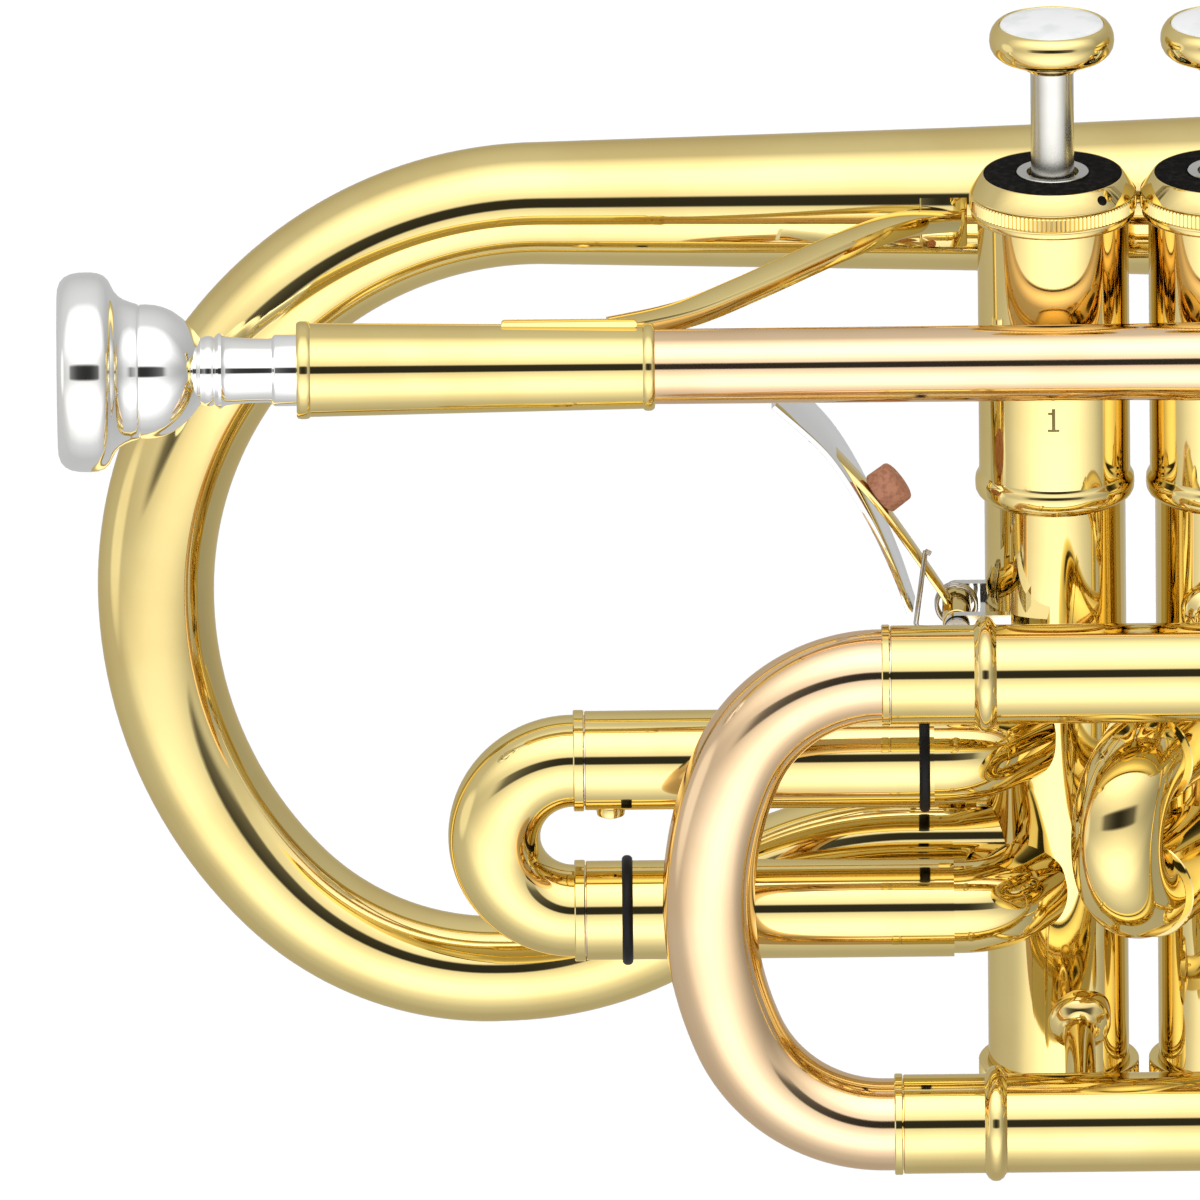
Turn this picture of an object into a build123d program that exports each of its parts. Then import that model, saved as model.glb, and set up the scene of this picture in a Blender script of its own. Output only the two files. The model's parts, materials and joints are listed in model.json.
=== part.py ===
from build123d import *
from math import acos, cos, degrees, pi, radians, sin
import os

# B flat cornet. Millimetres, +X towards the bell, +Y to the player's left, +Z up.
# The origin is on the axis of the middle valve.

# tubing
tube_radius = 6.40                      # outside of the bows and of the fixed bore tubing
bore_radius = tube_radius - 0.55
leg_radius = tube_radius - 0.05         # outside of a sliding leg
sleeve_bore = tube_radius               # inside of a slide sleeve
sleeve_radius = tube_radius + 0.50
ferrule_radius = tube_radius + 0.65
slide_gap = 0.10            # between a closed slide and its sleeve

# valves
valve_pitch = 23.7
casing_bore = 8.42
casing_radius = casing_bore + 1.38
chamber_bore = casing_bore + 0.78       # inside of the wider upper part
chamber_radius = casing_bore + 2.08
casing_bottom = -68.0
casing_ledge = 22.56        # where the upper chamber starts
casing_top = 65.2
piston_radius = casing_bore - 0.05
piston_bottom = -44.0
piston_shell = 1.10
barrel_radius = casing_bore - 0.82
barrel_bore = barrel_radius - 0.80
barrel_top = 65.0
stem_radius = 3.00
valve_stroke = 14.5
window_radius = casing_bore - 3.52
button_radius = 8.68
button_bottom = 82.9
button_top = 89.9
pearl_radius = 7.30
cap_radius = chamber_radius + 1.15
cap_skirt = 62.5
cap_shoulder = 65.1
cap_top = 67.7
felt_radius = chamber_radius - 0.90
bush_radius = 5.00
bottom_cap_radius = casing_radius + 1.40
bottom_cap_skirt = -62.5

# bell
bell_y = 26.0
bell_z = 55.0
bell_rim_x = 190.0
bell_rim_radius = 58.0      # to the middle of the rolled edge
bell_throat_x = -38.0
bell_throat_radius = 9.90
bell_flare_power = 0.75
bell_wall = 0.60
bead_radius = 1.50
crook_x = -94.9
crook_radius = 53.9
crook_lower_radius = 59.1
crook_exit_radius = 41.3
crook_bottom_y = 6.0
crook_bottom_z = -50.9
bell_port_z = -29.7
inlet_bend_radius = 42.0
inlet_run = 1.5             # straight piece after the crook

# leadpipe
lead_y = -18.0
lead_z = 46.1
receiver_x = -128.7
receiver_end_x = -79.1
lead_bow_x = 62.0
mouth_rim_x = -161.8

# main tuning slide
tune_y = -34.0
tune_upper_z = 6.1
tune_lower_z = -60.0
tune_upper_x = -46.9        # open end of the upper sleeve
tune_lower_x = -45.6
tune_bow_depth = 24.2
tune_bow_angle = 67.0
tune_leg_length = 44.0
inlet_elbow_radius = 15.0
third_port_z = -0.5

# valve slides
first_y = -16.0
first_upper_z = -12.4
first_lower_z = -34.5
first_bow_x = -90.95
first_sleeve_x = -89.35
first_elbow_radius = 7.5
first_upper_angle = 52.0
first_lower_angle = 60.0
first_leg_length = 34.0
second_angle = 244.0
second_upper_z = -10.0
second_lower_z = -29.5
second_sleeve_length = 15.5
third_upper_z = -11.0
third_lower_z = -33.0
third_sleeve_x = 92.0
third_leg_length = 34.0
link_upper_z = -6.0
link_lower_z = -18.0

# first slide trigger
trigger_x = -valve_pitch - 13.8
trigger_z = 5.1
trigger_arm = 18.0
trigger_pin_radius = 1.0
hinge_pin = 1.0
barrel_hinge = 2.0
fork_y = -2.2
arm_y = 0.45

# braces
brace_radius = 2.15
bell_brace_x = 43.0

# water key
key_x = 43.0
key_nipple_x = 56.0
key_z = tune_lower_z - ferrule_radius - 3.15

valve_x = [-valve_pitch, 0.0, valve_pitch]


def at(point, way):
    return Plane(origin=Vector(*point), z_dir=Vector(*way))


def rod(start, end, radius):
    way = Vector(*end) - Vector(*start)
    return extrude(at(start, way.normalized()) * Circle(radius), way.length)


def pipe(start, end, outer, inner):
    way = Vector(*end) - Vector(*start)
    ring = Circle(outer) - Circle(inner)
    return extrude(at(start, way.normalized()) * ring, way.length)


def turned(points, origin, along):
    # points are (distance along the axis, radius)
    along = Vector(*along).normalized()
    side = along.cross(Vector(0, 0, 1) if abs(along.Z) < 0.9 else Vector(1, 0, 0))
    plane = Plane(origin=Vector(*origin), x_dir=along, z_dir=side.normalized())
    face = make_face(Polyline(*points, close=True))
    return revolve(plane * face, Axis(Vector(*origin), along))


def block(low, high):
    size = [b - a for a, b in zip(low, high)]
    middle = [(a + b) / 2 for a, b in zip(low, high)]
    return Pos(*middle) * Box(*size)


def route(start, way, moves):
    # a move is a straight length, or (radius, angle in degrees, direction of the turn)
    point, way, edges = Vector(*start), Vector(*way).normalized(), []
    for move in moves:
        if isinstance(move, tuple):
            radius, angle, toward = move
            side = Vector(*toward)
            side = (side - way * side.dot(way)).normalized()
            centre = point + side * radius
            marks = []
            for turn in (radians(angle) / 2, radians(angle)):
                marks.append(centre - side * (radius * cos(turn)) + way * (radius * sin(turn)))
            edges.append(ThreePointArc(point, marks[0], marks[1]).edge())
            way = way * cos(radians(angle)) + side * sin(radians(angle))
            point = marks[1]
        else:
            edges.append(Line(point, point + way * move).edge())
            point = point + way * move
    return Wire(edges), point, way


def tube(path, outer, inner):
    ring = Circle(outer) - Circle(inner)
    return sweep(at(path.position_at(0), path.tangent_at(0)) * ring, path)


def taper(path, radii, stations, normal):
    # solid cone along a plane curve, radii given as (share of the length, radius)
    sections = []
    length = path.length
    for i in range(stations + 1):
        share = i / stations
        for (a, ra), (b, rb) in zip(radii, radii[1:]):
            if a <= share <= b:
                radius = ra + (rb - ra) * (share - a) / (b - a)
        point = path.position_at(share * length, position_mode=PositionMode.LENGTH)
        way = path.tangent_at(share * length, position_mode=PositionMode.LENGTH)
        plane = Plane(origin=point, x_dir=Vector(*normal), z_dir=way)
        sections.append(plane * Circle(radius))
    return loft(sections)


def tapered_tube(path, radii, stations, normal, wall):
    bore = [(share, radius - wall) for share, radius in radii]
    return taper(path, radii, stations, normal) - taper(path, bore, stations, normal)


def ring_bead(point, way, radius, thickness):
    # half-round ring soldered round a tube of the given radius
    plane = at(point, way)
    return plane * (Torus(radius, thickness) - Cylinder(radius, thickness * 4))


def coil(point, way, radius, wire, height, turns):
    helix = Helix(pitch=height / turns, height=height, radius=radius)
    start = Plane(origin=helix.position_at(0), z_dir=helix.tangent_at(0))
    return at(point, way) * sweep(start * Circle(wire), helix)


def flange(point, way, radius, height):
    # low domed foot at the end of a brace
    profile = [(-4, 0), (-4, radius), (height * 0.35, radius), (height * 0.8, radius * 0.7), (height, radius * 0.45)]
    return turned(profile + [(height, 0)], point, way)


def outward(angle, rise=0.0):
    return Vector(cos(radians(angle)), sin(radians(angle)), rise)


nodes = {}

# ---- valves ----

third_rise = (tune_upper_z - third_port_z) / -tune_y
ports = [
    [(0, link_lower_z, 0), (180, bell_port_z, 0),
     (180 + first_upper_angle, first_upper_z, 0), (180 + first_lower_angle, first_lower_z, 0)],
    [(0, link_upper_z, 0), (180, link_lower_z, 0),
     (second_angle, second_upper_z, 0), (second_angle, second_lower_z, 0)],
    [(270, third_port_z, third_rise), (180, link_upper_z, 0),
     (0, third_upper_z, 0), (0, third_lower_z, 0)],
]

casing_profile = [
    (casing_bottom, casing_bore), (casing_bottom, casing_radius),
    (casing_ledge, casing_radius), (casing_ledge, chamber_radius),
    (casing_top, chamber_radius), (casing_top, chamber_bore),
    (casing_ledge, chamber_bore), (casing_ledge, casing_bore),
]
casing_cores = []
for number, x in enumerate(valve_x):
    casing = turned(casing_profile, (x, 0, 0), (0, 0, 1))
    for angle, z, rise in ports[number]:
        start = Vector(x, 0, z)
        casing -= rod(start, start + outward(angle, rise) * 14, bore_radius)
    nodes[f"valve_casing_{number + 1}"] = casing
    casing_cores.append(rod((x, 0, casing_bottom), (x, 0, casing_ledge), casing_radius))
    casing_cores.append(rod((x, 0, casing_ledge), (x, 0, casing_top), chamber_radius))
casing_core = Part() + casing_cores

for number, x in enumerate(valve_x):
    body = turned([
        (piston_bottom, 2.0), (piston_bottom, piston_radius), (20.5, piston_radius),
        (20.5, barrel_radius), (barrel_top, barrel_radius), (barrel_top, stem_radius),
        (button_bottom, stem_radius), (button_bottom, 2.0), (button_bottom + 3.5, 2.0),
        (button_bottom + 3.5, 0), (barrel_top - 2.0, 0), (barrel_top - 2.0, barrel_bore),
        (18.0, barrel_bore), (18.0, piston_radius - piston_shell),
        (piston_bottom + 1.5, piston_radius - piston_shell), (piston_bottom + 1.5, 2.0),
    ], (x, 0, 0), (0, 0, 1))
    slot_top = casing_ledge + valve_stroke + 2.4
    body -= block((x - 12, -1.8, 20.5), (x + 12, 1.8, slot_top))
    windows = ports[number][:2] + [(a, z + valve_stroke, rise) for a, z, rise in ports[number]]
    for angle, z, rise in windows:
        start = Vector(x, 0, z)
        body -= rod(start, start + outward(angle) * 14, window_radius)
    nodes[f"piston_{number + 1}"] = body

    button = turned([
        (button_bottom, 2.04), (button_bottom, 3.6), (83.7, 4.4), (84.6, 7.2), (85.7, 8.3),
        (87.0, button_radius), (88.2, 8.55), (89.3, 8.1), (89.6, 7.8), (89.6, pearl_radius),
        (88.2, pearl_radius), (88.2, 0), (button_bottom + 3.6, 0), (button_bottom + 3.6, 2.04),
    ], (x, 0, 0), (0, 0, 1))
    nodes[f"button_{number + 1}"] = button
    pearl = turned([
        (88.2, 0), (88.2, pearl_radius), (89.35, pearl_radius), (89.8, 6.4), (button_top, 4.5),
        (button_top + 0.1, 0),
    ], (x, 0, 0), (0, 0, 1))
    nodes[f"pearl_{number + 1}"] = pearl

    nodes[f"valve_spring_{number + 1}"] = coil(
        (x, 0, casing_ledge + 2.0), (0, 0, 1), barrel_bore - 1.6, 0.45, barrel_top - casing_ledge - 4.6, 9)

guides, top_caps, bottom_caps, felts, beads = [], [], [], [], []
for x in valve_x:
    ring = pipe((x, 0, casing_ledge), (x, 0, casing_ledge + 1.4), chamber_bore, barrel_radius + 0.15)
    reach = chamber_bore - 0.6
    bar = block((x - reach, -1.7, casing_ledge), (x + reach, 1.7, casing_ledge + 1.4))
    seat = rod((x, 0, casing_ledge), (x, 0, casing_ledge + 1.4), barrel_bore - 0.4)
    guides.append(ring + bar + seat)
    cap = turned([
        (cap_skirt, chamber_radius), (cap_skirt, cap_radius - 0.35), (cap_skirt + 0.35, cap_radius),
        (cap_shoulder, cap_radius), (cap_top, felt_radius + 0.2), (cap_top, felt_radius),
        (cap_top - 1.0, felt_radius), (cap_top - 1.0, bush_radius), (cap_top + 0.3, bush_radius),
        (cap_top + 0.3, stem_radius + 0.6), (cap_top - 1.8, stem_radius + 0.08),
        (casing_top, stem_radius + 0.08), (casing_top, chamber_radius),
    ], (x, 0, 0), (0, 0, 1))
    top_caps.append(cap)
    felts.append(pipe((x, 0, cap_top - 1.0), (x, 0, cap_top + 0.1), felt_radius, bush_radius))
    bottom_caps.append(turned([
        (bottom_cap_skirt, casing_radius), (bottom_cap_skirt, bottom_cap_radius - 0.3),
        (bottom_cap_skirt - 0.3, bottom_cap_radius), (-66.5, bottom_cap_radius),
        (-69.3, bottom_cap_radius - 1.6), (-70.0, bottom_cap_radius - 3.0), (-70.2, 3.6),
        (-71.5, 3.0), (-71.5, 1.2), (casing_bottom, 1.2), (casing_bottom, casing_radius),
    ], (x, 0, 0), (0, 0, 1)))
    beads.append(turned([
        (casing_ledge - 1.9, casing_radius), (casing_ledge - 1.4, casing_radius + 0.45),
        (casing_ledge - 1.0, chamber_radius + 0.25), (casing_ledge, chamber_radius + 0.45),
        (casing_ledge + 1.0, chamber_radius + 0.25), (casing_ledge + 1.4, chamber_radius),
        (casing_ledge, chamber_radius), (casing_ledge, casing_radius),
    ], (x, 0, 0), (0, 0, 1)))
nodes["valve_guides"] = guides
nodes["top_caps"] = top_caps
nodes["bottom_caps"] = bottom_caps
nodes["cap_felts"] = felts

links = []
for z, left, right in ((link_upper_z, 0.0, valve_pitch), (link_lower_z, -valve_pitch, 0.0)):
    links.append(pipe((left, 0, z), (right, 0, z), tube_radius, bore_radius) - casing_core)
nodes["valve_link_tubes"] = links
link_core = rod((-valve_pitch, 0, link_lower_z), (0, 0, link_lower_z), tube_radius)

# ---- leadpipe side ----

receiver_core = turned([
    (receiver_x, 0), (receiver_x, 6.55), (receiver_x + 0.4, 6.75), (receiver_x + 1.7, 6.75),
    (receiver_x + 1.9, 6.50), (receiver_end_x - 1.5, 5.85), (receiver_end_x - 1.4, 6.10),
    (receiver_end_x - 0.3, 6.10), (receiver_end_x, 5.90), (receiver_end_x, 0),
], (0, lead_y, lead_z), (1, 0, 0))
shank_end_x = -103.0
receiver = receiver_core - turned([
    (receiver_x - 1, 0), (receiver_x - 1, 5.03), (receiver_x, 5.00), (shank_end_x + 1, 4.62),
    (shank_end_x + 1, 4.70), (-100.0, 4.70), (-100.0, 5.20), (receiver_end_x + 1, 5.20),
    (receiver_end_x + 1, 0),
], (0, lead_y, lead_z), (1, 0, 0))
nodes["mouthpiece_receiver"] = receiver
lead_core = turned([
    (-100.0, 0), (-100.0, 5.20), (-79.0, 5.20), (-13.0, 5.30), (lead_bow_x, tube_radius),
    (lead_bow_x, 0),
], (0, lead_y, lead_z), (1, 0, 0))
nodes["leadpipe"] = lead_core - turned([
    (-101.0, 0), (-101.0, 4.55), (-13.0, 4.80), (lead_bow_x, bore_radius),
    (lead_bow_x + 1, bore_radius), (lead_bow_x + 1, 0),
], (0, lead_y, lead_z), (1, 0, 0))

mouthpiece = turned([
    (mouth_rim_x + 1.2, 8.3), (mouth_rim_x + 0.3, 9.3), (mouth_rim_x, 10.6),
    (mouth_rim_x + 0.25, 12.0), (mouth_rim_x + 1.3, 13.2), (mouth_rim_x + 2.8, 13.75),
    (mouth_rim_x + 4.6, 13.80), (mouth_rim_x + 6.2, 13.45), (mouth_rim_x + 7.4, 12.3),
    (mouth_rim_x + 8.6, 10.8), (mouth_rim_x + 10.0, 9.75), (mouth_rim_x + 11.6, 9.35),
    (mouth_rim_x + 13.4, 9.20), (mouth_rim_x + 15.6, 8.60), (mouth_rim_x + 17.4, 7.50),
    (mouth_rim_x + 18.8, 6.20), (mouth_rim_x + 19.6, 5.00), (mouth_rim_x + 19.9, 4.55),
    (mouth_rim_x + 20.5, 4.72), (mouth_rim_x + 21.4, 4.72), (mouth_rim_x + 21.8, 4.55),
    (mouth_rim_x + 22.1, 5.10), (mouth_rim_x + 22.7, 5.20), (mouth_rim_x + 23.0, 4.86),
    (mouth_rim_x + 26.0, 4.52), (mouth_rim_x + 29.5, 4.44), (mouth_rim_x + 30.0, 4.96),
    (receiver_x, 4.96), (shank_end_x, 4.58), (shank_end_x, 4.15), (-120.0, 3.3),
    (mouth_rim_x + 24.0, 2.2), (mouth_rim_x + 19.0, 1.85), (mouth_rim_x + 16.0, 1.85),
    (mouth_rim_x + 14.4, 2.9), (mouth_rim_x + 12.0, 5.3), (mouth_rim_x + 8.0, 7.4),
    (mouth_rim_x + 4.0, 8.15),
], (0, lead_y, lead_z), (1, 0, 0))
nodes["mouthpiece"] = mouthpiece

bow_drop = Vector(0, tune_y - lead_y, tune_lower_z - lead_z)
front_path, _, _ = route(
    (lead_bow_x, lead_y, lead_z), (1, 0, 0), [(bow_drop.length / 2, 180, bow_drop), 12.0])
nodes["front_bow"] = tube(front_path, tube_radius, bore_radius)
lower_sleeve_end = lead_bow_x - 12.0
nodes["lower_tuning_sleeve"] = pipe(
    (tune_lower_x, tune_y, tune_lower_z), (lower_sleeve_end, tune_y, tune_lower_z),
    sleeve_radius, sleeve_bore)
elbow_x = valve_pitch - inlet_elbow_radius
nodes["upper_tuning_sleeve"] = pipe(
    (tune_upper_x, tune_y, tune_upper_z), (elbow_x - 3, tune_y, tune_upper_z),
    sleeve_radius, sleeve_bore)
toward_third = Vector(0, 1, -third_rise)
inlet_path, _, _ = route(
    (elbow_x - 3, tune_y, tune_upper_z), (1, 0, 0),
    [3.0, (inlet_elbow_radius, 90, toward_third), 14.0])
third_inlet = tube(inlet_path, tube_radius, bore_radius) - casing_core
nodes["third_valve_inlet"] = third_inlet
for x, z in ((tune_upper_x + 13.1, tune_upper_z), (tune_lower_x + 12.8, tune_lower_z)):
    beads.append(ring_bead((x, tune_y, z), (1, 0, 0), sleeve_radius, 1.2))
beads.append(pipe((lower_sleeve_end + 0.02, tune_y, tune_lower_z),
                  (lead_bow_x, tune_y, tune_lower_z), ferrule_radius, tube_radius))
beads.append(pipe((lead_bow_x - 10, lead_y, lead_z), (lead_bow_x, lead_y, lead_z),
                  ferrule_radius, tube_radius + 0.02))
beads.append(pipe((elbow_x - 2.95, tune_y, tune_upper_z), (elbow_x, tune_y, tune_upper_z),
                  ferrule_radius, tube_radius))
nodes["bead_rings"] = beads

# ---- bell ----

flare_reach = bell_rim_x - bell_throat_x
flare_ratio = (bell_rim_radius / bell_throat_radius) ** (1 / bell_flare_power)
flare_shift = flare_reach / (flare_ratio - 1)
flare_scale = bell_rim_radius * flare_shift ** bell_flare_power


def flare(x):
    return flare_scale / (bell_rim_x - x + flare_shift) ** bell_flare_power


flare_x = [bell_throat_x, 0, 40, 80] + [bell_rim_x - back for back in (80, 55, 35, 22, 12, 5, 0.6)]
bell_plane = Plane(origin=(0, bell_y, bell_z), x_dir=(1, 0, 0), z_dir=(0, -1, 0))
bell_axis = Axis((0, bell_y, bell_z), (1, 0, 0))
outer_line = [(x, flare(x)) for x in flare_x]
inner_line = [(x, flare(x) - bell_wall) for x in flare_x]
bell_edges = [
    Spline(*outer_line), Line(outer_line[-1], inner_line[-1]),
    Spline(*inner_line), Line(outer_line[0], inner_line[0]),
]
bell_shell = revolve(bell_plane * make_face(Curve() + bell_edges), bell_axis)
rim_x = bell_rim_x - bead_radius
rim = bell_plane * (Pos(rim_x, bell_rim_radius) * Circle(bead_radius))
land_low = flare(bell_rim_x - 0.6) - bell_wall
land_height = bell_rim_radius + 0.4 - land_low
rim_land = bell_plane * (Pos(rim_x + 0.5, land_low + land_height / 2) * Rectangle(2, land_height))
bell_flare = bell_shell + revolve(rim + rim_land, bell_axis)
nodes["bell_flare"] = bell_flare
core_edges = [
    Spline(*outer_line), Line(outer_line[-1], (outer_line[-1][0], 0)),
    Line((outer_line[-1][0], 0), (bell_throat_x, 0)), Line((bell_throat_x, 0), outer_line[0]),
]
bell_core = revolve(bell_plane * make_face(Curve() + core_edges), bell_axis)

crook_down = Vector(0, crook_bottom_y - bell_y, crook_bottom_z - bell_z)
crook_normal = crook_down.normalized().cross(Vector(1, 0, 0))
down = crook_down
back = (1, 0, 0)
crook_path, crook_end, _ = route(
    (bell_throat_x, bell_y, bell_z), (-1, 0, 0),
    [bell_throat_x - crook_x, (crook_radius, 90, down), (crook_lower_radius, 45, back),
     (crook_exit_radius, 45, back)])
crook_length = crook_path.length
straight_share = (bell_throat_x - crook_x) / crook_length
quarter_share = straight_share + crook_radius * pi / 2 / crook_length
crook_radii = [(0, bell_throat_radius), (straight_share, 8.5), (quarter_share, 8.1), (1, 7.35)]
nodes["bell_crook"] = tapered_tube(crook_path, crook_radii, 28, crook_normal, 0.6)
crook_core = taper(crook_path, crook_radii, 28, crook_normal)

inlet_rise = Vector(0, -crook_end.Y, bell_port_z - crook_end.Z)
inlet_angle = degrees(acos(1 - inlet_rise.length / (2 * inlet_bend_radius)))
inlet_reach = 2 * inlet_bend_radius * sin(radians(inlet_angle))
inlet_path, _, _ = route(crook_end, (1, 0, 0), [
    inlet_run, (inlet_bend_radius, inlet_angle, inlet_rise), (inlet_bend_radius, inlet_angle, -inlet_rise),
    -valve_pitch - 2.0 - crook_end.X - inlet_run - inlet_reach])
inlet_normal = inlet_rise.normalized().cross(Vector(1, 0, 0))
inlet_radii = [(0, 7.35), (0.75, 6.6), (1, 6.6)]
inlet_core = taper(inlet_path, inlet_radii, 24, inlet_normal)
nodes["bell_inlet_tube"] = tapered_tube(inlet_path, inlet_radii, 24, inlet_normal, 0.55) - casing_core

# ---- main tuning slide ----

bow_side = cos(radians(tune_bow_angle))
bow_rise = sin(radians(tune_bow_angle))
half_height = (tune_upper_z - tune_lower_z) / 2
bow_determinant = (1 - bow_side) * (1 - bow_rise) - bow_side * bow_rise
bow_corner = (half_height * (1 - bow_rise) - tune_bow_depth * bow_side) / bow_determinant
bow_back = (tune_bow_depth * (1 - bow_side) - half_height * bow_rise) / bow_determinant
ferrule_width = 1.15
bow_upper_x = tune_upper_x - slide_gap - ferrule_width
bow_lower_x = tune_lower_x - slide_gap - ferrule_width
tune_path, _, _ = route((bow_upper_x, tune_y, tune_upper_z), (-1, 0, 0), [
    (bow_corner, tune_bow_angle, (0, 0, -1)), (bow_back, 180 - 2 * tune_bow_angle, (1, 0, 0)),
    (bow_corner, tune_bow_angle, (1, 0, 0)), bow_lower_x - bow_upper_x])
nodes["tuning_bow"] = tube(tune_path, tube_radius, bore_radius)
tune_legs, tune_ferrules = [], []
for x, z in ((bow_upper_x, tune_upper_z), (bow_lower_x, tune_lower_z)):
    tune_legs.append(pipe((x, tune_y, z), (x + tune_leg_length, tune_y, z), leg_radius, bore_radius))
    tune_ferrules.append(pipe(
        (x, tune_y, z), (x + ferrule_width, tune_y, z), ferrule_radius, leg_radius))
nodes["tuning_legs"] = tune_legs
nodes["tuning_ferrules"] = tune_ferrules


# ---- valve slides ----

def slide_bow(start, way, down_length):
    # half-circle bow with a ferrule at each end, opening backwards
    turn = Vector(0, 0, -1)
    path, _, _ = route(start, way, [(down_length / 2, 180, turn)])
    bow = tube(path, tube_radius, bore_radius)
    for z in (0, -down_length):
        end = Vector(*start) + Vector(0, 0, z)
        bow += pipe(end, end - Vector(*way) * 1.5, ferrule_radius, bore_radius)
    return bow


def slide_legs(start, way, down_length, length):
    legs = []
    for z in (0, -down_length):
        end = Vector(*start) + Vector(0, 0, z) - Vector(*way) * 1.5
        legs.append(pipe(end, end - Vector(*way) * length, leg_radius, bore_radius))
    return legs


first_spacing = first_upper_z - first_lower_z
first_start = (first_bow_x, first_y, first_upper_z)
nodes["first_slide_bow"] = slide_bow(first_start, (-1, 0, 0), first_spacing)
nodes["first_slide_legs"] = slide_legs(first_start, (-1, 0, 0), first_spacing, first_leg_length)
first_sleeves = []
for z, angle in ((first_upper_z, first_upper_angle), (first_lower_z, first_lower_angle)):
    elbow_rise = first_elbow_radius * (1 - cos(radians(angle)))
    entry = (-first_y - elbow_rise) / sin(radians(angle))
    elbow_start = -valve_pitch - entry * cos(radians(angle)) - first_elbow_radius * sin(radians(angle))
    sleeve = pipe((first_sleeve_x, first_y, z), (elbow_start - 1, first_y, z), sleeve_radius, sleeve_bore)
    elbow_path, _, _ = route((elbow_start - 4, first_y, z), (1, 0, 0), [
        4.0, (first_elbow_radius, angle, (0, 1, 0)), entry - 4.0])
    elbow = tube(elbow_path, tube_radius + 0.05, bore_radius)
    first_sleeves.append(sleeve + (elbow - casing_core - inlet_core))
    if z == first_upper_z:
        knob = rod((-85.8, first_y, z), (-85.8, first_y, z - sleeve_radius - 1.3), 2.0)
        first_sleeves[-1] += knob - rod((-95, first_y, z), (-75, first_y, z), sleeve_radius - 0.1)
nodes["first_slide_sleeves"] = first_sleeves
bumpers = []
for x, z in ((-83.6, first_lower_z), (-valve_pitch - 18.5, first_upper_z)):
    bumpers.append(ring_bead((x, first_y, z), (1, 0, 0), sleeve_radius, 0.75))
nodes["first_slide_bumpers"] = bumpers

second_way = outward(second_angle)
second_reach = casing_radius - 0.8 + second_sleeve_length
second_spacing = second_upper_z - second_lower_z
second_sleeves = []
for z in (second_upper_z, second_lower_z):
    inner_end = Vector(0, 0, z) + second_way * 4
    outer_end = Vector(0, 0, z) + second_way * second_reach
    sleeve = pipe(inner_end, outer_end, sleeve_radius, sleeve_bore)
    second_sleeves.append(sleeve - casing_core - link_core)
nodes["second_slide_sleeves"] = second_sleeves
second_start = Vector(0, 0, second_upper_z) + second_way * (second_reach + slide_gap + 1.5)
nodes["second_slide_bow"] = slide_bow(second_start, second_way, second_spacing)
nodes["second_slide_legs"] = slide_legs(second_start, second_way, second_spacing, 13.0)

third_spacing = third_upper_z - third_lower_z
third_sleeves = []
for z in (third_upper_z, third_lower_z):
    sleeve = pipe((valve_pitch, 0, z), (third_sleeve_x, 0, z), sleeve_radius, sleeve_bore)
    third_sleeves.append(sleeve - casing_core)
nodes["third_slide_sleeves"] = third_sleeves
third_start = (third_sleeve_x + slide_gap + 1.5, 0, third_upper_z)
nodes["third_slide_bow"] = slide_bow(third_start, (1, 0, 0), third_spacing)
nodes["third_slide_legs"] = slide_legs(third_start, (1, 0, 0), third_spacing, third_leg_length)
rail_z = third_upper_z + sleeve_radius + 0.5
ring_x = 74.0
ring_radius = 12.2
finger_ring = Pos(ring_x, 0, rail_z + 1.0 + ring_radius) * Rot(90, 0, 0) * Torus(ring_radius, 1.5)
finger_ring += block((ring_x - 8, -1.8, rail_z), (third_sleeve_x + 1.5, 1.8, rail_z + 1.4))
lug = block((third_sleeve_x + 0.2, -1.8, rail_z - 3), (third_sleeve_x + 1.5, 1.8, rail_z + 1))
finger_ring += lug - rod(
    (third_sleeve_x, 0, third_upper_z), (third_sleeve_x + 3, 0, third_upper_z), ferrule_radius)
nodes["finger_ring"] = finger_ring

# ---- braces and fittings ----

lower_core = rod((tune_lower_x, tune_y, tune_lower_z), (60, tune_y, tune_lower_z), sleeve_radius)
upper_core = rod((tune_upper_x, tune_y, tune_upper_z), (elbow_x, tune_y, tune_upper_z), sleeve_radius)
braces = []
for x, z, side in ((-20.9, -54.0, 1), (valve_pitch, -54.0, 1), (-2.0, tune_upper_z, 0)):
    target = (x, tune_y, tune_lower_z if side else tune_upper_z)
    depth = -(casing_radius ** 2 - min(abs(x - v) for v in valve_x) ** 2) ** 0.5
    brace = rod((x, depth + 3, z), target, brace_radius) + flange((x, depth, z), (0, -1, 0), 4.4, 2.4)
    toward = (Vector(x, depth, z) - Vector(*target)).normalized()
    brace += flange(Vector(*target) + toward * sleeve_radius, toward, 3.6, 1.8)
    braces.append(brace - casing_core - (lower_core if side else upper_core))
sleeve_pair = [
    rod((valve_pitch, 0, z), (third_sleeve_x, 0, z), sleeve_radius) for z in (third_upper_z, third_lower_z)
]
strut = rod((62, 0, third_upper_z), (62, 0, third_lower_z), 1.6)
for end in (third_upper_z - sleeve_radius, third_lower_z + sleeve_radius):
    way = (0, 0, -1) if end > third_upper_z - 9 else (0, 0, 1)
    strut += flange((62, 0, end), way, 3.0, 1.4)
braces.append(strut - sleeve_pair[0] - sleeve_pair[1])
nodes["sleeve_braces"] = braces

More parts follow.
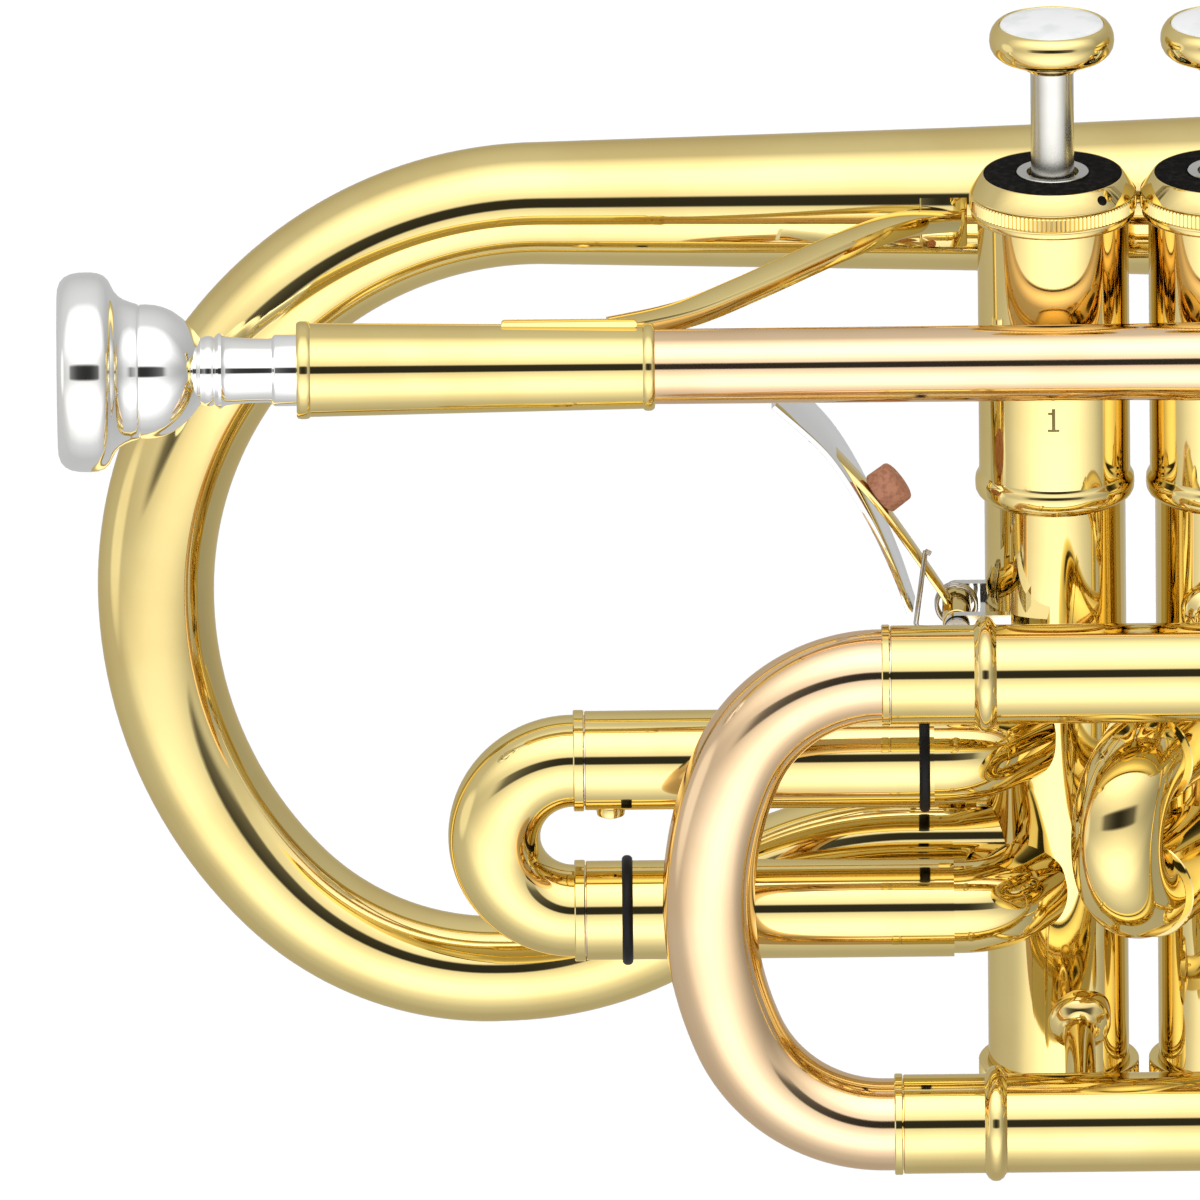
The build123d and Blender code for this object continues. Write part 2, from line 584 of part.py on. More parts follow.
bell_braces = []
lead_point = Vector(bell_brace_x, lead_y, lead_z)
bell_point = Vector(bell_brace_x, bell_y, bell_z)
cross_way = (bell_point - lead_point).normalized()
brace = rod(lead_point, bell_point, brace_radius)
brace += flange(lead_point + cross_way * 6.2, cross_way, 4.2, 2.2)
brace += flange(bell_point - cross_way * flare(bell_brace_x), -cross_way, 4.6, 2.2)
bell_braces.append(brace - lead_core - bell_core)
stub = rod((valve_pitch, 6, 50.5), (valve_pitch, bell_y, 54.0), 3.0)
bell_braces.append(stub - casing_core - bell_core)
nodes["bell_braces"] = bell_braces


def bar_along(path, width, thickness, across):
    start = Plane(origin=path.position_at(0), x_dir=Vector(*across), z_dir=path.tangent_at(0))
    return sweep(start * Rectangle(width, thickness), path)


strap_line = [(-86, -13.6, 51.0), (-72, -9.5, 51.7), (-54, 1.5, 56.0), (-45, 9.0, 57.0), (-38, 16.0, 55.4)]
strap_path = Wire([Spline(*strap_line).edge()])
across = Vector(0, 0, 1).cross(strap_path.tangent_at(0)).normalized()
strap = bar_along(strap_path, 4.4, 2.8, across)
foot = pipe((-101, lead_y, lead_z), (-80.8, lead_y, lead_z), 7.6, 5.0)
strap += foot & block((-101, lead_y + 0.5, lead_z + 0.5), (-80.8, lead_y + 9, lead_z + 9))
pad = pipe((-43.5, bell_y, bell_z), (-34.5, bell_y, bell_z), bell_throat_radius + 1.1, 7.0)
strap += pad & block((-43.5, bell_y - 14, bell_z - 5.0), (-34.5, bell_y - 6.5, bell_z + 6.5))
nodes["receiver_strap"] = strap - receiver_core - lead_core - bell_core - crook_core

hook_path, _, _ = route((53, lead_y, lead_z + 5.0), (0, 0, 1), [2.5, (10.0, 160, (-1, 0, 0))])
hook = bar_along(hook_path, 5.0, 1.9, (0, 1, 0))
hook += block((48, lead_y - 2.8, lead_z + 4), (58, lead_y + 2.8, lead_z + 7.4))
nodes["little_finger_hook"] = hook - lead_core - pipe(
    (lead_bow_x - 10, lead_y, lead_z), (lead_bow_x, lead_y, lead_z), ferrule_radius, 1.0)

# ---- first slide trigger ----

lever_shape = [(-0.9, 7.0), (-5.7, 15.2), (-10.9, 22.6), (-17.3, 30.2), (-25.0, 38.0)]
lever_line = [(trigger_x + reach, z) for reach, z in lever_shape]
plate_shape = [(-5.9, 6.4), (-8.2, 13.2), (-11.9, 21.4), (-17.3, 30.2), (-25.0, 38.0)]
plate_line = [(trigger_x + reach, z) for reach, z in plate_shape]


def lever_sheet(line, inner, outer):
    # sheet that follows the line, between two offsets towards the valves
    low, high = [], []
    for i, (x, z) in enumerate(line):
        a = line[max(i - 1, 0)]
        b = line[min(i + 1, len(line) - 1)]
        run = Vector(b[0] - a[0], b[1] - a[1]).normalized()
        low.append((x + run.Y * inner, z - run.X * inner))
        high.append((x + run.Y * outer, z - run.X * outer))
    edges = [Spline(*low), Line(low[-1], high[-1]), Spline(*high), Line(low[0], high[0])]
    face = Plane(origin=(0, 30, 0), x_dir=(1, 0, 0), z_dir=(0, -1, 0)) * make_face(Curve() + edges)
    return extrude(face, 60)


def seen_from_front(points, corner):
    outline = make_face(Polyline(*points, close=True))
    outline = fillet(outline.vertices(), corner)
    return extrude(Plane(origin=(-90, 0, 0), x_dir=(0, 1, 0), z_dir=(1, 0, 0)) * outline, 70)


lever = lever_sheet(lever_line, 0.0, 1.1) & seen_from_front([(-8.7, 5), (-3.3, 5), (-3.3, 33), (-8.7, 33)], 1.0)
lever += rod((trigger_x, -10.0, trigger_z), (trigger_x, arm_y + 0.85, trigger_z), barrel_hinge)
lever += block((trigger_x - 2.1, -8.7, 5.0), (trigger_x + 0.6, -3.3, 7.6))
pin_z = trigger_z - trigger_arm
lever += block((trigger_x - 1.1, arm_y - 0.85, pin_z - 1.4), (trigger_x + 1.1, arm_y + 0.85, trigger_z))
lever += rod((trigger_x, fork_y - 1.9, pin_z), (trigger_x, arm_y, pin_z), trigger_pin_radius)
lever -= rod((trigger_x, -12, trigger_z), (trigger_x, 6, trigger_z), hinge_pin + 0.05)
nodes["trigger_lever"] = lever
plate = lever_sheet(plate_line, -0.9, 0.0) & seen_from_front(
    [(-11.2, 39.2), (6.0, 39.2), (6.0, 31.0), (-1.0, 6.6), (-11.2, 6.6), (-11.6, 24.0)], 2.4)
nodes["trigger_plate"] = plate - lever
cork_way = Vector(lever_line[3][0] - lever_line[1][0], 0, lever_line[3][1] - lever_line[1][1]).normalized()
cork_side = Vector(cork_way.Z, 0, -cork_way.X)
cork_foot = Vector(lever_line[2][0], -6.0, lever_line[2][1]) + cork_side * 1.1
nodes["trigger_cork"] = rod(cork_foot - cork_side * 0.8, cork_foot + cork_side * 2.8, 3.1) - lever

ear_y = arm_y + 1.05
bracket = block((trigger_x + 3.3, -11.8, trigger_z - 1.8), (trigger_x + 12.5, ear_y + 1.6, trigger_z + 0.4))
for y in (-11.8, ear_y):
    bracket += block((trigger_x, y, trigger_z - 1.8), (trigger_x + 7.5, y + 1.6, trigger_z + 1.8))
    bracket += rod((trigger_x, y, trigger_z), (trigger_x, y + 1.6, trigger_z), 1.8)
bracket -= rod((trigger_x, -13, trigger_z), (trigger_x, 6, trigger_z), hinge_pin)
nodes["trigger_bracket"] = bracket - casing_core

lug_x = first_bow_x - 0.25
link = rod((lug_x, first_y, pin_z), (lug_x, fork_y + 1.2, pin_z), 1.4)
link += rod((lug_x, fork_y, pin_z), (trigger_x - 1.7, fork_y, pin_z), 1.2)
link += block((trigger_x - 2.7, fork_y - 1.65, pin_z - 3.4), (trigger_x + 2.6, fork_y + 1.6, pin_z + 4.0))
slot = trigger_pin_radius + 0.2
link -= block((trigger_x - slot, fork_y - 3, pin_z - 5), (trigger_x + slot, fork_y + 3, pin_z + 2.9))
bow_core_path, _, _ = route(first_start, (-1, 0, 0), [(first_spacing / 2, 180, (0, 0, -1))])
link -= sweep(at(first_start, (-1, 0, 0)) * Circle(tube_radius), bow_core_path)
link -= rod(first_start, (first_bow_x + 1.5, first_y, first_upper_z), ferrule_radius)
nodes["trigger_rod"] = link

spring = coil((trigger_x, -2.8, trigger_z), (0, 1, 0), 2.75, 0.3, 1.9, 3)
nodes["trigger_spring"] = spring

# ---- water key ----

key_core = rod((lower_sleeve_end, tune_y, tune_lower_z), (lead_bow_x, tune_y, tune_lower_z), ferrule_radius)
nipple = pipe((key_nipple_x, tune_y, tune_lower_z), (key_nipple_x, tune_y, key_z + 0.9), 3.2, 1.8)
posts = [nipple - key_core]
for y in (tune_y - 4.6, tune_y + 3.2):
    ear = block((key_x - 1.8, y, key_z), (key_x + 1.8, y + 1.4, tune_lower_z))
    ear += rod((key_x, y, key_z), (key_x, y + 1.4, key_z), 1.8)
    ear -= rod((key_x, y - 1, key_z), (key_x, y + 3, key_z), 0.8)
    posts.append(ear - lower_core)
nodes["water_key_saddle"] = posts
key_top = key_z - 0.6
key_bar = block((28.0, tune_y - 1.3, key_top - 1.3), (key_nipple_x, tune_y + 1.3, key_top))
key_bar += rod((key_x, tune_y - 3.0, key_z), (key_x, tune_y + 3.0, key_z), 1.6)
key_bar += rod((key_nipple_x, tune_y, key_top - 1.3), (key_nipple_x, tune_y, key_top), 3.7)
tab = Pos(28.5, tune_y, key_top - 0.65) * Cylinder(5.0, 1.3)
key_bar = key_bar + tab - rod((key_x, tune_y - 6, key_z), (key_x, tune_y + 6, key_z), 0.85)
nodes["water_key_lever"] = key_bar
nodes["water_key_cork"] = rod(
    (key_nipple_x, tune_y, key_top), (key_nipple_x, tune_y, key_z + 0.88), 3.0)
nodes["water_key_spring"] = coil((key_x, tune_y - 2.9, key_z), (0, 1, 0), 2.1, 0.2, 1.1, 2)

screws = []
for x, z, low, high, radius in (
    (trigger_x, trigger_z, -12.6, ear_y + 2.2, hinge_pin), (key_x, key_z, tune_y - 5.0, tune_y + 5.0, 0.8),
):
    screw = rod((x, low, z), (x, high, z), radius)
    screws.append(screw + rod((x, low - 0.7, z), (x, low + 0.02, z), radius + 0.8))
nodes["pivot_screws"] = screws

os.makedirs("parts", exist_ok=True)
for name, shape in nodes.items():
    solids = []
    for piece in (shape if isinstance(shape, list) else [shape]):
        solids.extend(piece.solids())
    export_step(Compound(children=solids) if len(solids) > 1 else solids[0], f"parts/{name}.step")
    print(name, len(solids))
print(len(nodes), "nodes")
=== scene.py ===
import bpy
import bmesh
import json
import math
from mathutils import Matrix, Vector


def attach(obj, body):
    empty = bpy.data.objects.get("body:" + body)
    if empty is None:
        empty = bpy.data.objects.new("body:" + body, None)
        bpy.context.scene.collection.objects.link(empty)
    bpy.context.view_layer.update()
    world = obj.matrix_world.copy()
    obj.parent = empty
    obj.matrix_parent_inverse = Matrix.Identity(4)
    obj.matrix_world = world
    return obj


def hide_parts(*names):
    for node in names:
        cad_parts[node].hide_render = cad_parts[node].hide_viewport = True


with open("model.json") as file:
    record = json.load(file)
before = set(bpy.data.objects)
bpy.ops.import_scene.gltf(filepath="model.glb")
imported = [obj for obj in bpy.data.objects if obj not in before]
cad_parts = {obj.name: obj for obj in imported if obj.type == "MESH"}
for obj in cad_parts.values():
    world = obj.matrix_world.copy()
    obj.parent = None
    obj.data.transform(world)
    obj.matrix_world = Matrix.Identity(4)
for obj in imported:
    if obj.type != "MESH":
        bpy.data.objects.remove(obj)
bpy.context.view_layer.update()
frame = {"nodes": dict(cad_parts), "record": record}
nodes = frame["nodes"]
print("frame loaded:", len(nodes), "nodes")

# ---- camera ----

camera = {"aim": (-0.0870, 0.0, 0.00555), "elevation": 19.5, "distance": 8.0, "lens": 1727.6, "roll": 0.57}


def placeCamera(values):
    data = bpy.data.cameras.new("studioCamera")
    data.lens = values["lens"]
    data.sensor_width = 36.0
    data.clip_start, data.clip_end = 0.05, 50.0
    lift = math.radians(values["elevation"])
    back = Vector((0.0, -math.cos(lift), math.sin(lift)))
    eye = bpy.data.objects.new("studioCamera", data)
    eye.location = Vector(values["aim"]) + back * values["distance"]
    turn = (-back).to_track_quat("-Z", "Y").to_matrix()
    eye.rotation_euler = (turn @ Matrix.Rotation(math.radians(-values["roll"]), 3, "Z")).to_euler()
    bpy.context.collection.objects.link(eye)
    bpy.context.scene.camera = eye


placeCamera(camera)

# ---- studio light and floor ----

studio = {
    # brightness by height angle, from straight behind below, under, front, over, to behind
    "sweep": [(-180, 0.70), (-101, 0.70), (-76, 0.95), (-56, 1.5), (-38, 2.5), (-21, 2.6), (-6, 1.9), (8, 1.35),
              (29, 1.5), (40, 1.9), (55, 2.7), (71, 2.9), (88, 2.1), (108, 1.0), (131, 0.9), (165, 0.70),
              (180, 0.70)],
    "peak": 3.0,
    # dark strip in front, above the eye line
    "strip": [(-180, 0.0), (8.5, 0.0), (10.5, 1.0), (26.5, 1.0), (29.5, 0.0), (180, 0.0)],
    "stripDepth": 0.97,
    "stripFade": (0.55, 0.78),
    "sideLevels": (0.86, 0.52),
    "edgeGlow": (0.955, 0.99, 0.55),
    "floorHeight": -0.30,
    "floorSize": 8.0,
}


def addNode(tree, kind, **values):
    node = tree.nodes.new(kind)
    for name, value in values.items():
        setattr(node, name, value)
    return node


def mathNode(tree, operation, *inputs):
    node = addNode(tree, "ShaderNodeMath", operation=operation)
    for i, value in enumerate(inputs):
        if isinstance(value, (int, float)):
            node.inputs[i].default_value = value
        else:
            tree.links.new(value, node.inputs[i])
    return node.outputs[0]


def fillRamp(ramp, stops):
    while len(ramp.color_ramp.elements) > 1:
        ramp.color_ramp.elements.remove(ramp.color_ramp.elements[0])
    for i, (place, level) in enumerate(stops):
        stop = ramp.color_ramp.elements[0] if i == 0 else ramp.color_ramp.elements.new(place)
        stop.position = place
        stop.color = (level, level, level, 1.0)


def mapNode(tree, value, low, high, start=0.0, end=1.0):
    node = addNode(tree, "ShaderNodeMapRange", interpolation_type="SMOOTHSTEP")
    tree.links.new(value, node.inputs[0])
    for i, number in enumerate((low, high, start, end), 1):
        node.inputs[i].default_value = number
    return node.outputs[0]


def studioLight(values):
    world = bpy.data.worlds.new("softStudio")
    bpy.context.scene.world = world
    world.use_nodes = True
    tree = world.node_tree
    tree.nodes.clear()
    place = addNode(tree, "ShaderNodeTexCoord")
    split = addNode(tree, "ShaderNodeSeparateXYZ")
    tree.links.new(place.outputs["Generated"], split.inputs[0])
    frontward = mathNode(tree, "MULTIPLY", split.outputs[1], -1.0)
    angle = mathNode(tree, "ARCTAN2", split.outputs[2], frontward)
    share = mathNode(tree, "MULTIPLY_ADD", angle, 0.5 / math.pi, 0.5)
    sweep = addNode(tree, "ShaderNodeValToRGB")
    fillRamp(sweep, [((a + 180) / 360, level / values["peak"]) for a, level in values["sweep"]])
    strip = addNode(tree, "ShaderNodeValToRGB")
    fillRamp(strip, [((a + 180) / 360, level) for a, level in values["strip"]])
    for ramp in (sweep, strip):
        tree.links.new(share, ramp.inputs[0])
    front = mathNode(tree, "MULTIPLY", sweep.outputs[0], values["peak"])
    aside = mathNode(tree, "ABSOLUTE", split.outputs[0])
    shown = mapNode(tree, aside, *values["stripFade"], 1.0, 0.0)
    dark = mathNode(tree, "MULTIPLY", mathNode(tree, "MULTIPLY", strip.outputs[0], shown), values["stripDepth"])
    front = mathNode(tree, "MULTIPLY", front, mathNode(tree, "SUBTRACT", 1.0, dark))
    left, right = values["sideLevels"]
    side = mathNode(tree, "MULTIPLY_ADD", split.outputs[0], (right - left) / 2, (right + left) / 2)
    blend = mathNode(tree, "POWER", aside, 2.0)
    level = addNode(tree, "ShaderNodeMix", data_type="FLOAT")
    tree.links.new(blend, level.inputs[0])
    tree.links.new(front, level.inputs[2])
    tree.links.new(side, level.inputs[3])
    low, high, extra = values["edgeGlow"]
    glow = mapNode(tree, mathNode(tree, "MULTIPLY", split.outputs[0], -1.0), low, high, 0.0, extra)
    light = addNode(tree, "ShaderNodeBackground")
    tree.links.new(mathNode(tree, "ADD", level.outputs[0], glow), light.inputs[1])
    out = addNode(tree, "ShaderNodeOutputWorld")
    tree.links.new(light.outputs[0], out.inputs[0])


def layFloor(values):
    bm = bmesh.new()
    bmesh.ops.create_grid(bm, x_segments=2, y_segments=2, size=values["floorSize"])
    bmesh.ops.translate(bm, verts=bm.verts, vec=(0, 0, values["floorHeight"]))
    mesh = bpy.data.meshes.new("floor")
    bm.to_mesh(mesh)
    floor = bpy.data.objects.new("floor", mesh)
    bpy.context.collection.objects.link(floor)
    pale = bpy.data.materials.new("paleFloor")
    pale.use_nodes = True
    shader = pale.node_tree.nodes["Principled BSDF"]
    shader.inputs["Base Color"].default_value = (0.93, 0.93, 0.93, 1)
    shader.inputs["Roughness"].default_value = 0.9
    shader.inputs["Specular IOR Level"].default_value = 0.1
    mesh.materials.append(pale)
    floor.visible_glossy = False


studioLight(studio)
layFloor(studio)
bpy.context.scene.view_settings.view_transform = "Standard"
print("studio ready")

# ---- finishes ----


def newGroup(name, inputs, outputs):
    group = bpy.data.node_groups.new(name, "ShaderNodeTree")
    for label, kind, value in inputs:
        socket = group.interface.new_socket(name=label, in_out="INPUT", socket_type=kind)
        if value is not None:
            socket.default_value = value
    for label, kind in outputs:
        group.interface.new_socket(name=label, in_out="OUTPUT", socket_type=kind)
    return group, group.nodes.new("NodeGroupInput"), group.nodes.new("NodeGroupOutput")


def handlingWear():
    # soft smudges and fine rub marks left by hands and polishing cloths
    group, given, made = newGroup(
        "handlingWear",
        [("Smudge Scale", "NodeSocketFloat", 60.0), ("Rub Scale", "NodeSocketFloat", 900.0),
         ("Low Roughness", "NodeSocketFloat", 0.04), ("High Roughness", "NodeSocketFloat", 0.09)],
        [("Mask", "NodeSocketFloat"), ("Roughness", "NodeSocketFloat"), ("Height", "NodeSocketFloat")])
    place = addNode(group, "ShaderNodeTexCoord")
    smudge = addNode(group, "ShaderNodeTexNoise")
    smudge.inputs["Detail"].default_value = 4.0
    group.links.new(place.outputs["Object"], smudge.inputs["Vector"])
    group.links.new(given.outputs["Smudge Scale"], smudge.inputs["Scale"])
    shaped = addNode(group, "ShaderNodeMapRange", interpolation_type="SMOOTHSTEP")
    group.links.new(smudge.outputs["Fac"], shaped.inputs[0])
    shaped.inputs[1].default_value = 0.42
    shaped.inputs[2].default_value = 0.68
    rub = addNode(group, "ShaderNodeTexNoise")
    rub.inputs["Detail"].default_value = 6.0
    rub.inputs["Roughness"].default_value = 0.7
    group.links.new(place.outputs["Object"], rub.inputs["Vector"])
    group.links.new(given.outputs["Rub Scale"], rub.inputs["Scale"])
    both = mathNode(group, "MULTIPLY", shaped.outputs[0], rub.outputs["Fac"])
    spread = mathNode(group, "SUBTRACT", given.outputs["High Roughness"], given.outputs["Low Roughness"])
    rough = mathNode(group, "MULTIPLY_ADD", both, spread, given.outputs["Low Roughness"])
    group.links.new(shaped.outputs[0], made.inputs["Mask"])
    group.links.new(rough, made.inputs["Roughness"])
    group.links.new(rub.outputs["Fac"], made.inputs["Height"])
    return group


wearGroup = handlingWear()


def finish(name, values):
    # a metal or coated finish with colour drift, varied roughness and a very slight surface ripple
    material = bpy.data.materials.new(name)
    material.use_nodes = True
    tree = material.node_tree
    shader = tree.nodes["Principled BSDF"]
    wear = addNode(tree, "ShaderNodeGroup", node_tree=wearGroup)
    wear.inputs["Smudge Scale"].default_value = values.get("smudge", 60.0)
    wear.inputs["Rub Scale"].default_value = values.get("rub", 900.0)
    wear.inputs["Low Roughness"].default_value = values["rough"][0]
    wear.inputs["High Roughness"].default_value = values["rough"][1]
    tint = addNode(tree, "ShaderNodeMix", data_type="RGBA")
    tint.inputs[6].default_value = (*values["colour"], 1)
    tint.inputs[7].default_value = (*values["drift"], 1)
    tree.links.new(wear.outputs["Mask"], tint.inputs[0])
    tree.links.new(tint.outputs[2], shader.inputs["Base Color"])
    tree.links.new(wear.outputs["Roughness"], shader.inputs["Roughness"])
    bump = addNode(tree, "ShaderNodeBump")
    bump.inputs["Strength"].default_value = values.get("bump", 0.02)
    bump.inputs["Distance"].default_value = values.get("bumpDepth", 0.00002)
    tree.links.new(wear.outputs["Height"], bump.inputs["Height"])
    tree.links.new(bump.outputs[0], shader.inputs["Normal"])
    shader.inputs["Metallic"].default_value = values.get("metal", 1.0)
    shader.inputs["Coat Weight"].default_value = values.get("coat", 0.0)
    shader.inputs["Coat Roughness"].default_value = 0.03
    shader.inputs["Coat IOR"].default_value = 1.45
    shader.inputs["Specular Tint"].default_value = (*values.get("edge", (1, 1, 1)), 1)
    shader.inputs["Specular IOR Level"].default_value = values.get("specular", 0.5)
    return material


finishes = {
    "lacquered_brass": finish("lacqueredBrass", {
        "colour": (0.80, 0.645, 0.27), "drift": (0.77, 0.60, 0.24), "rough": (0.035, 0.07), "coat": 0.35,
        "edge": (0.92, 0.80, 0.52)}),
    "rose_brass": finish("roseBrass", {
        "colour": (0.82, 0.60, 0.37), "drift": (0.79, 0.56, 0.33), "rough": (0.07, 0.13), "coat": 0.35,
        "edge": (0.95, 0.80, 0.62)}),
    "silver_plate": finish("silverPlate", {
        "colour": (0.93, 0.93, 0.92), "drift": (0.88, 0.87, 0.84), "rough": (0.03, 0.07)}),
    "satin_nickel": finish("satinNickel", {
        "colour": (0.62, 0.61, 0.57), "drift": (0.55, 0.54, 0.50), "rough": (0.22, 0.34), "rub": 2500.0,
        "bump": 0.1}),
    "bright_nickel": finish("drawnNickel", {
        "colour": (0.78, 0.76, 0.71), "drift": (0.72, 0.70, 0.65), "rough": (0.08, 0.16)}),
    "pearl_inlay": finish("whitePearl", {
        "colour": (0.86, 0.87, 0.86), "drift": (0.74, 0.77, 0.76), "rough": (0.08, 0.16), "smudge": 260.0,
        "metal": 0.0, "coat": 0.6}),
    "black_felt": finish("blackFelt", {
        "colour": (0.006, 0.006, 0.005), "drift": (0.02, 0.018, 0.016), "rough": (0.85, 1.0), "smudge": 900.0,
        "rub": 4000.0, "bump": 0.8, "bumpDepth": 0.0002, "metal": 0.0, "specular": 0.05}),
    "black_rubber": finish("blackRubber", {
        "colour": (0.008, 0.008, 0.009), "drift": (0.014, 0.014, 0.014), "rough": (0.5, 0.65), "metal": 0.0,
        "specular": 0.2}),
    "cork_bumper": finish("denseCork", {
        "colour": (0.66, 0.30, 0.18), "drift": (0.48, 0.20, 0.12), "rough": (0.7, 0.9), "smudge": 1500.0,
        "rub": 3500.0, "bump": 0.6, "bumpDepth": 0.0002, "metal": 0.0}),
    "engraving": finish("engravedBrass", {
        "colour": (0.33, 0.27, 0.09), "drift": (0.25, 0.20, 0.06), "rough": (0.4, 0.6), "metal": 0.3}),
    "spring_steel": finish("springSteel", {
        "colour": (0.52, 0.51, 0.50), "drift": (0.42, 0.41, 0.40), "rough": (0.15, 0.3)}),
}

slotOf = {row["node"]: row["material_slot"] for row in frame["record"]["subparts"]}
for name, part in nodes.items():
    part.data.materials.clear()
    part.data.materials.append(finishes[slotOf[name]])
print("finishes on", len(nodes), "nodes")

# ---- ways of making a piece, in millimetres until it is placed ----

up, down, along = Vector((0, 0, 1)), Vector((0, 0, -1)), Vector((1, 0, 0))
tubeSize = {"radius": 6.4, "bore": 5.85, "leg": 6.35, "sleeve": 6.9, "ferrule": 7.05}


def makePiece(name, bm, body, slotName, replaced=(), roundOff=0.0, sharpAngle=38):
    bmesh.ops.remove_doubles(bm, verts=bm.verts, dist=0.0005)
    if roundOff:
        edges = [e for e in bm.edges if e.is_manifold and e.calc_face_angle(0) > math.radians(28)]
        bmesh.ops.bevel(bm, geom=edges, offset=roundOff, segments=2, profile=0.5, affect="EDGES", material=-1)
    bmesh.ops.recalc_face_normals(bm, faces=bm.faces)
    bmesh.ops.scale(bm, vec=(0.001, 0.001, 0.001), verts=bm.verts)
    mesh = bpy.data.meshes.new(name)
    bm.to_mesh(mesh)
    bm.free()
    mesh.shade_smooth()
    mesh.set_sharp_from_angle(angle=math.radians(sharpAngle))
    piece = bpy.data.objects.new(name, mesh)
    bpy.context.collection.objects.link(piece)
    mesh.materials.append(finishes[slotName])
    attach(piece, body)
    if replaced:
        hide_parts(*replaced)
    return piece


def facing(point, way):
    # matrix that puts local Z along way, at point
    way = Vector(way).normalized()
    turn = way.to_track_quat("Z", "Y").to_matrix().to_4x4()
    return Matrix.Translation(Vector(point)) @ turn


def addLathe(bm, profile, point, way, segments=96):
    # profile of (distance along the axis, radius), spun once round
    place = facing(point, way)
    ring = [bm.verts.new(place @ Vector((radius, 0, height))) for height, radius in profile]
    edges = [bm.edges.new(pair) for pair in zip(ring, ring[1:])]
    if profile[0][1] > 0 and profile[-1][1] > 0:
        edges.append(bm.edges.new((ring[-1], ring[0])))
    bmesh.ops.spin(bm, geom=ring + edges, cent=Vector(point), axis=Vector(way).normalized(), dvec=(0, 0, 0),
                   angle=math.tau, steps=segments, use_merge=True, use_duplicate=False)


def lathePiece(name, profile, point, way, body, slotName, replaced=(), roundOff=0.0, segments=96):
    bm = bmesh.new()
    points = point if isinstance(point, list) else [point]
    for place in points:
        addLathe(bm, profile, place, way, segments=segments)
    return makePiece(name, bm, body, slotName, replaced, roundOff)


def extrudeRing(bm, edges):
    grown = bmesh.ops.extrude_edge_only(bm, edges=edges)["geom"]
    verts = [g for g in grown if isinstance(g, bmesh.types.BMVert)]
    made = set(verts)
    return verts, [g for g in grown if isinstance(g, bmesh.types.BMEdge) and all(v in made for v in g.verts)]


def addTube(bm, start, way, moves, radius, segments=72, stepAngle=3.0):
    # moves: ("run", length, end radius) or ("bend", radius, angle, towards, end radius)
    point, way = Vector(start), Vector(way).normalized()
    ring = bmesh.ops.create_circle(bm, cap_ends=False, segments=segments, radius=radius,
                                   matrix=facing(point, way))
    edges = list({e for v in ring["verts"] for e in v.link_edges})
    first = list(edges)
    for move in moves:
        endRadius = move[-1] or radius
        if move[0] == "run":
            steps, turn = max(1, int(abs(endRadius - radius) * 8)), None
        else:
            side = Vector(move[3])
            side = (side - way * side.dot(way)).normalized()
            centre, axis = point + side * move[1], way.cross(side)
            steps = max(2, int(move[2] / stepAngle))
            turn = math.radians(move[2]) / steps
        for i in range(steps):
            verts, edges = extrudeRing(bm, edges)
            if turn is None:
                shift = way * (move[1] / steps)
                bmesh.ops.translate(bm, verts=verts, vec=shift)
                point = point + shift
            else:
                spun = Matrix.Rotation(turn, 3, axis)
                bmesh.ops.rotate(bm, verts=verts, cent=centre, matrix=spun)
                point, way = centre + spun @ (point - centre), spun @ way
            change = (endRadius - radius) / steps
            share = (radius + change * (i + 1)) / (radius + change * i)
            if abs(share - 1) > 1e-6:
                bmesh.ops.scale(bm, verts=verts, vec=(share,) * 3, space=Matrix.Translation(-point))
        radius = endRadius
    bmesh.ops.edgeloop_fill(bm, edges=first)
    bmesh.ops.edgeloop_fill(bm, edges=edges)
    return point, way


def addRod(bm, start, end, radius, segments=40):
    way = Vector(end) - Vector(start)
    addLathe(bm, [(0, 0), (0, radius), (way.length, radius), (way.length, 0)], start, way, segments=segments)


def addBar(bm, line, width, thickness, across, steps=12, corner=0.35, ends=(1.0, 1.0)):
    # flat bar along a smooth line through the points, with rounded edges
    stations = []
    count = len(line)
    for i in range(count - 1):
        a, b = Vector(line[max(i - 1, 0)]), Vector(line[i])
        c, d = Vector(line[i + 1]), Vector(line[min(i + 2, count - 1)])
        for k in range(steps + (i == count - 2)):
            t = k / steps
            stations.append(0.5 * ((2 * b) + (c - a) * t + (2 * a - 5 * b + 4 * c - d) * t * t
                                   + (3 * b - a - 3 * c + d) * t ** 3))
    outline = []
    for sx, sy in ((1, 1), (-1, 1), (-1, -1), (1, -1)):
        x, y = sx * (width / 2 - corner), sy * (thickness / 2 - corner)
        first = (x + sx * corner, y) if sx == sy else (x, y + sy * corner)
        last = (x, y + sy * corner) if sx == sy else (x + sx * corner, y)
        middle = (x + sx * corner * 0.707, y + sy * corner * 0.707)
        outline += [first, middle, last]
    ring, edges, firstEdges = None, None, None
    total = len(stations) - 1
    for i, point in enumerate(stations):
        way = (stations[min(i + 1, total)] - stations[max(i - 1, 0)]).normalized()
        side = Vector(across) - way * Vector(across).dot(way)
        side.normalize()
        top = way.cross(side)
        grow = ends[0] + (ends[1] - ends[0]) * i / total
        spots = [point + side * (x * grow) + top * y for x, y in outline]
        if ring is None:
            ring = [bm.verts.new(p) for p in spots]
            edges = [bm.edges.new((ring[k - 1], ring[k])) for k in range(len(ring))]
            firstEdges = list(edges)
        else:
            verts, edges = extrudeRing(bm, edges)
            made, following = set(verts), []
            for v in ring:
                following.append(next(e.other_vert(v) for e in v.link_edges if e.other_vert(v) in made))
            for v, p in zip(following, spots):
                v.co = p
            ring = following
    bmesh.ops.edgeloop_fill(bm, edges=firstEdges)
    bmesh.ops.edgeloop_fill(bm, edges=edges)


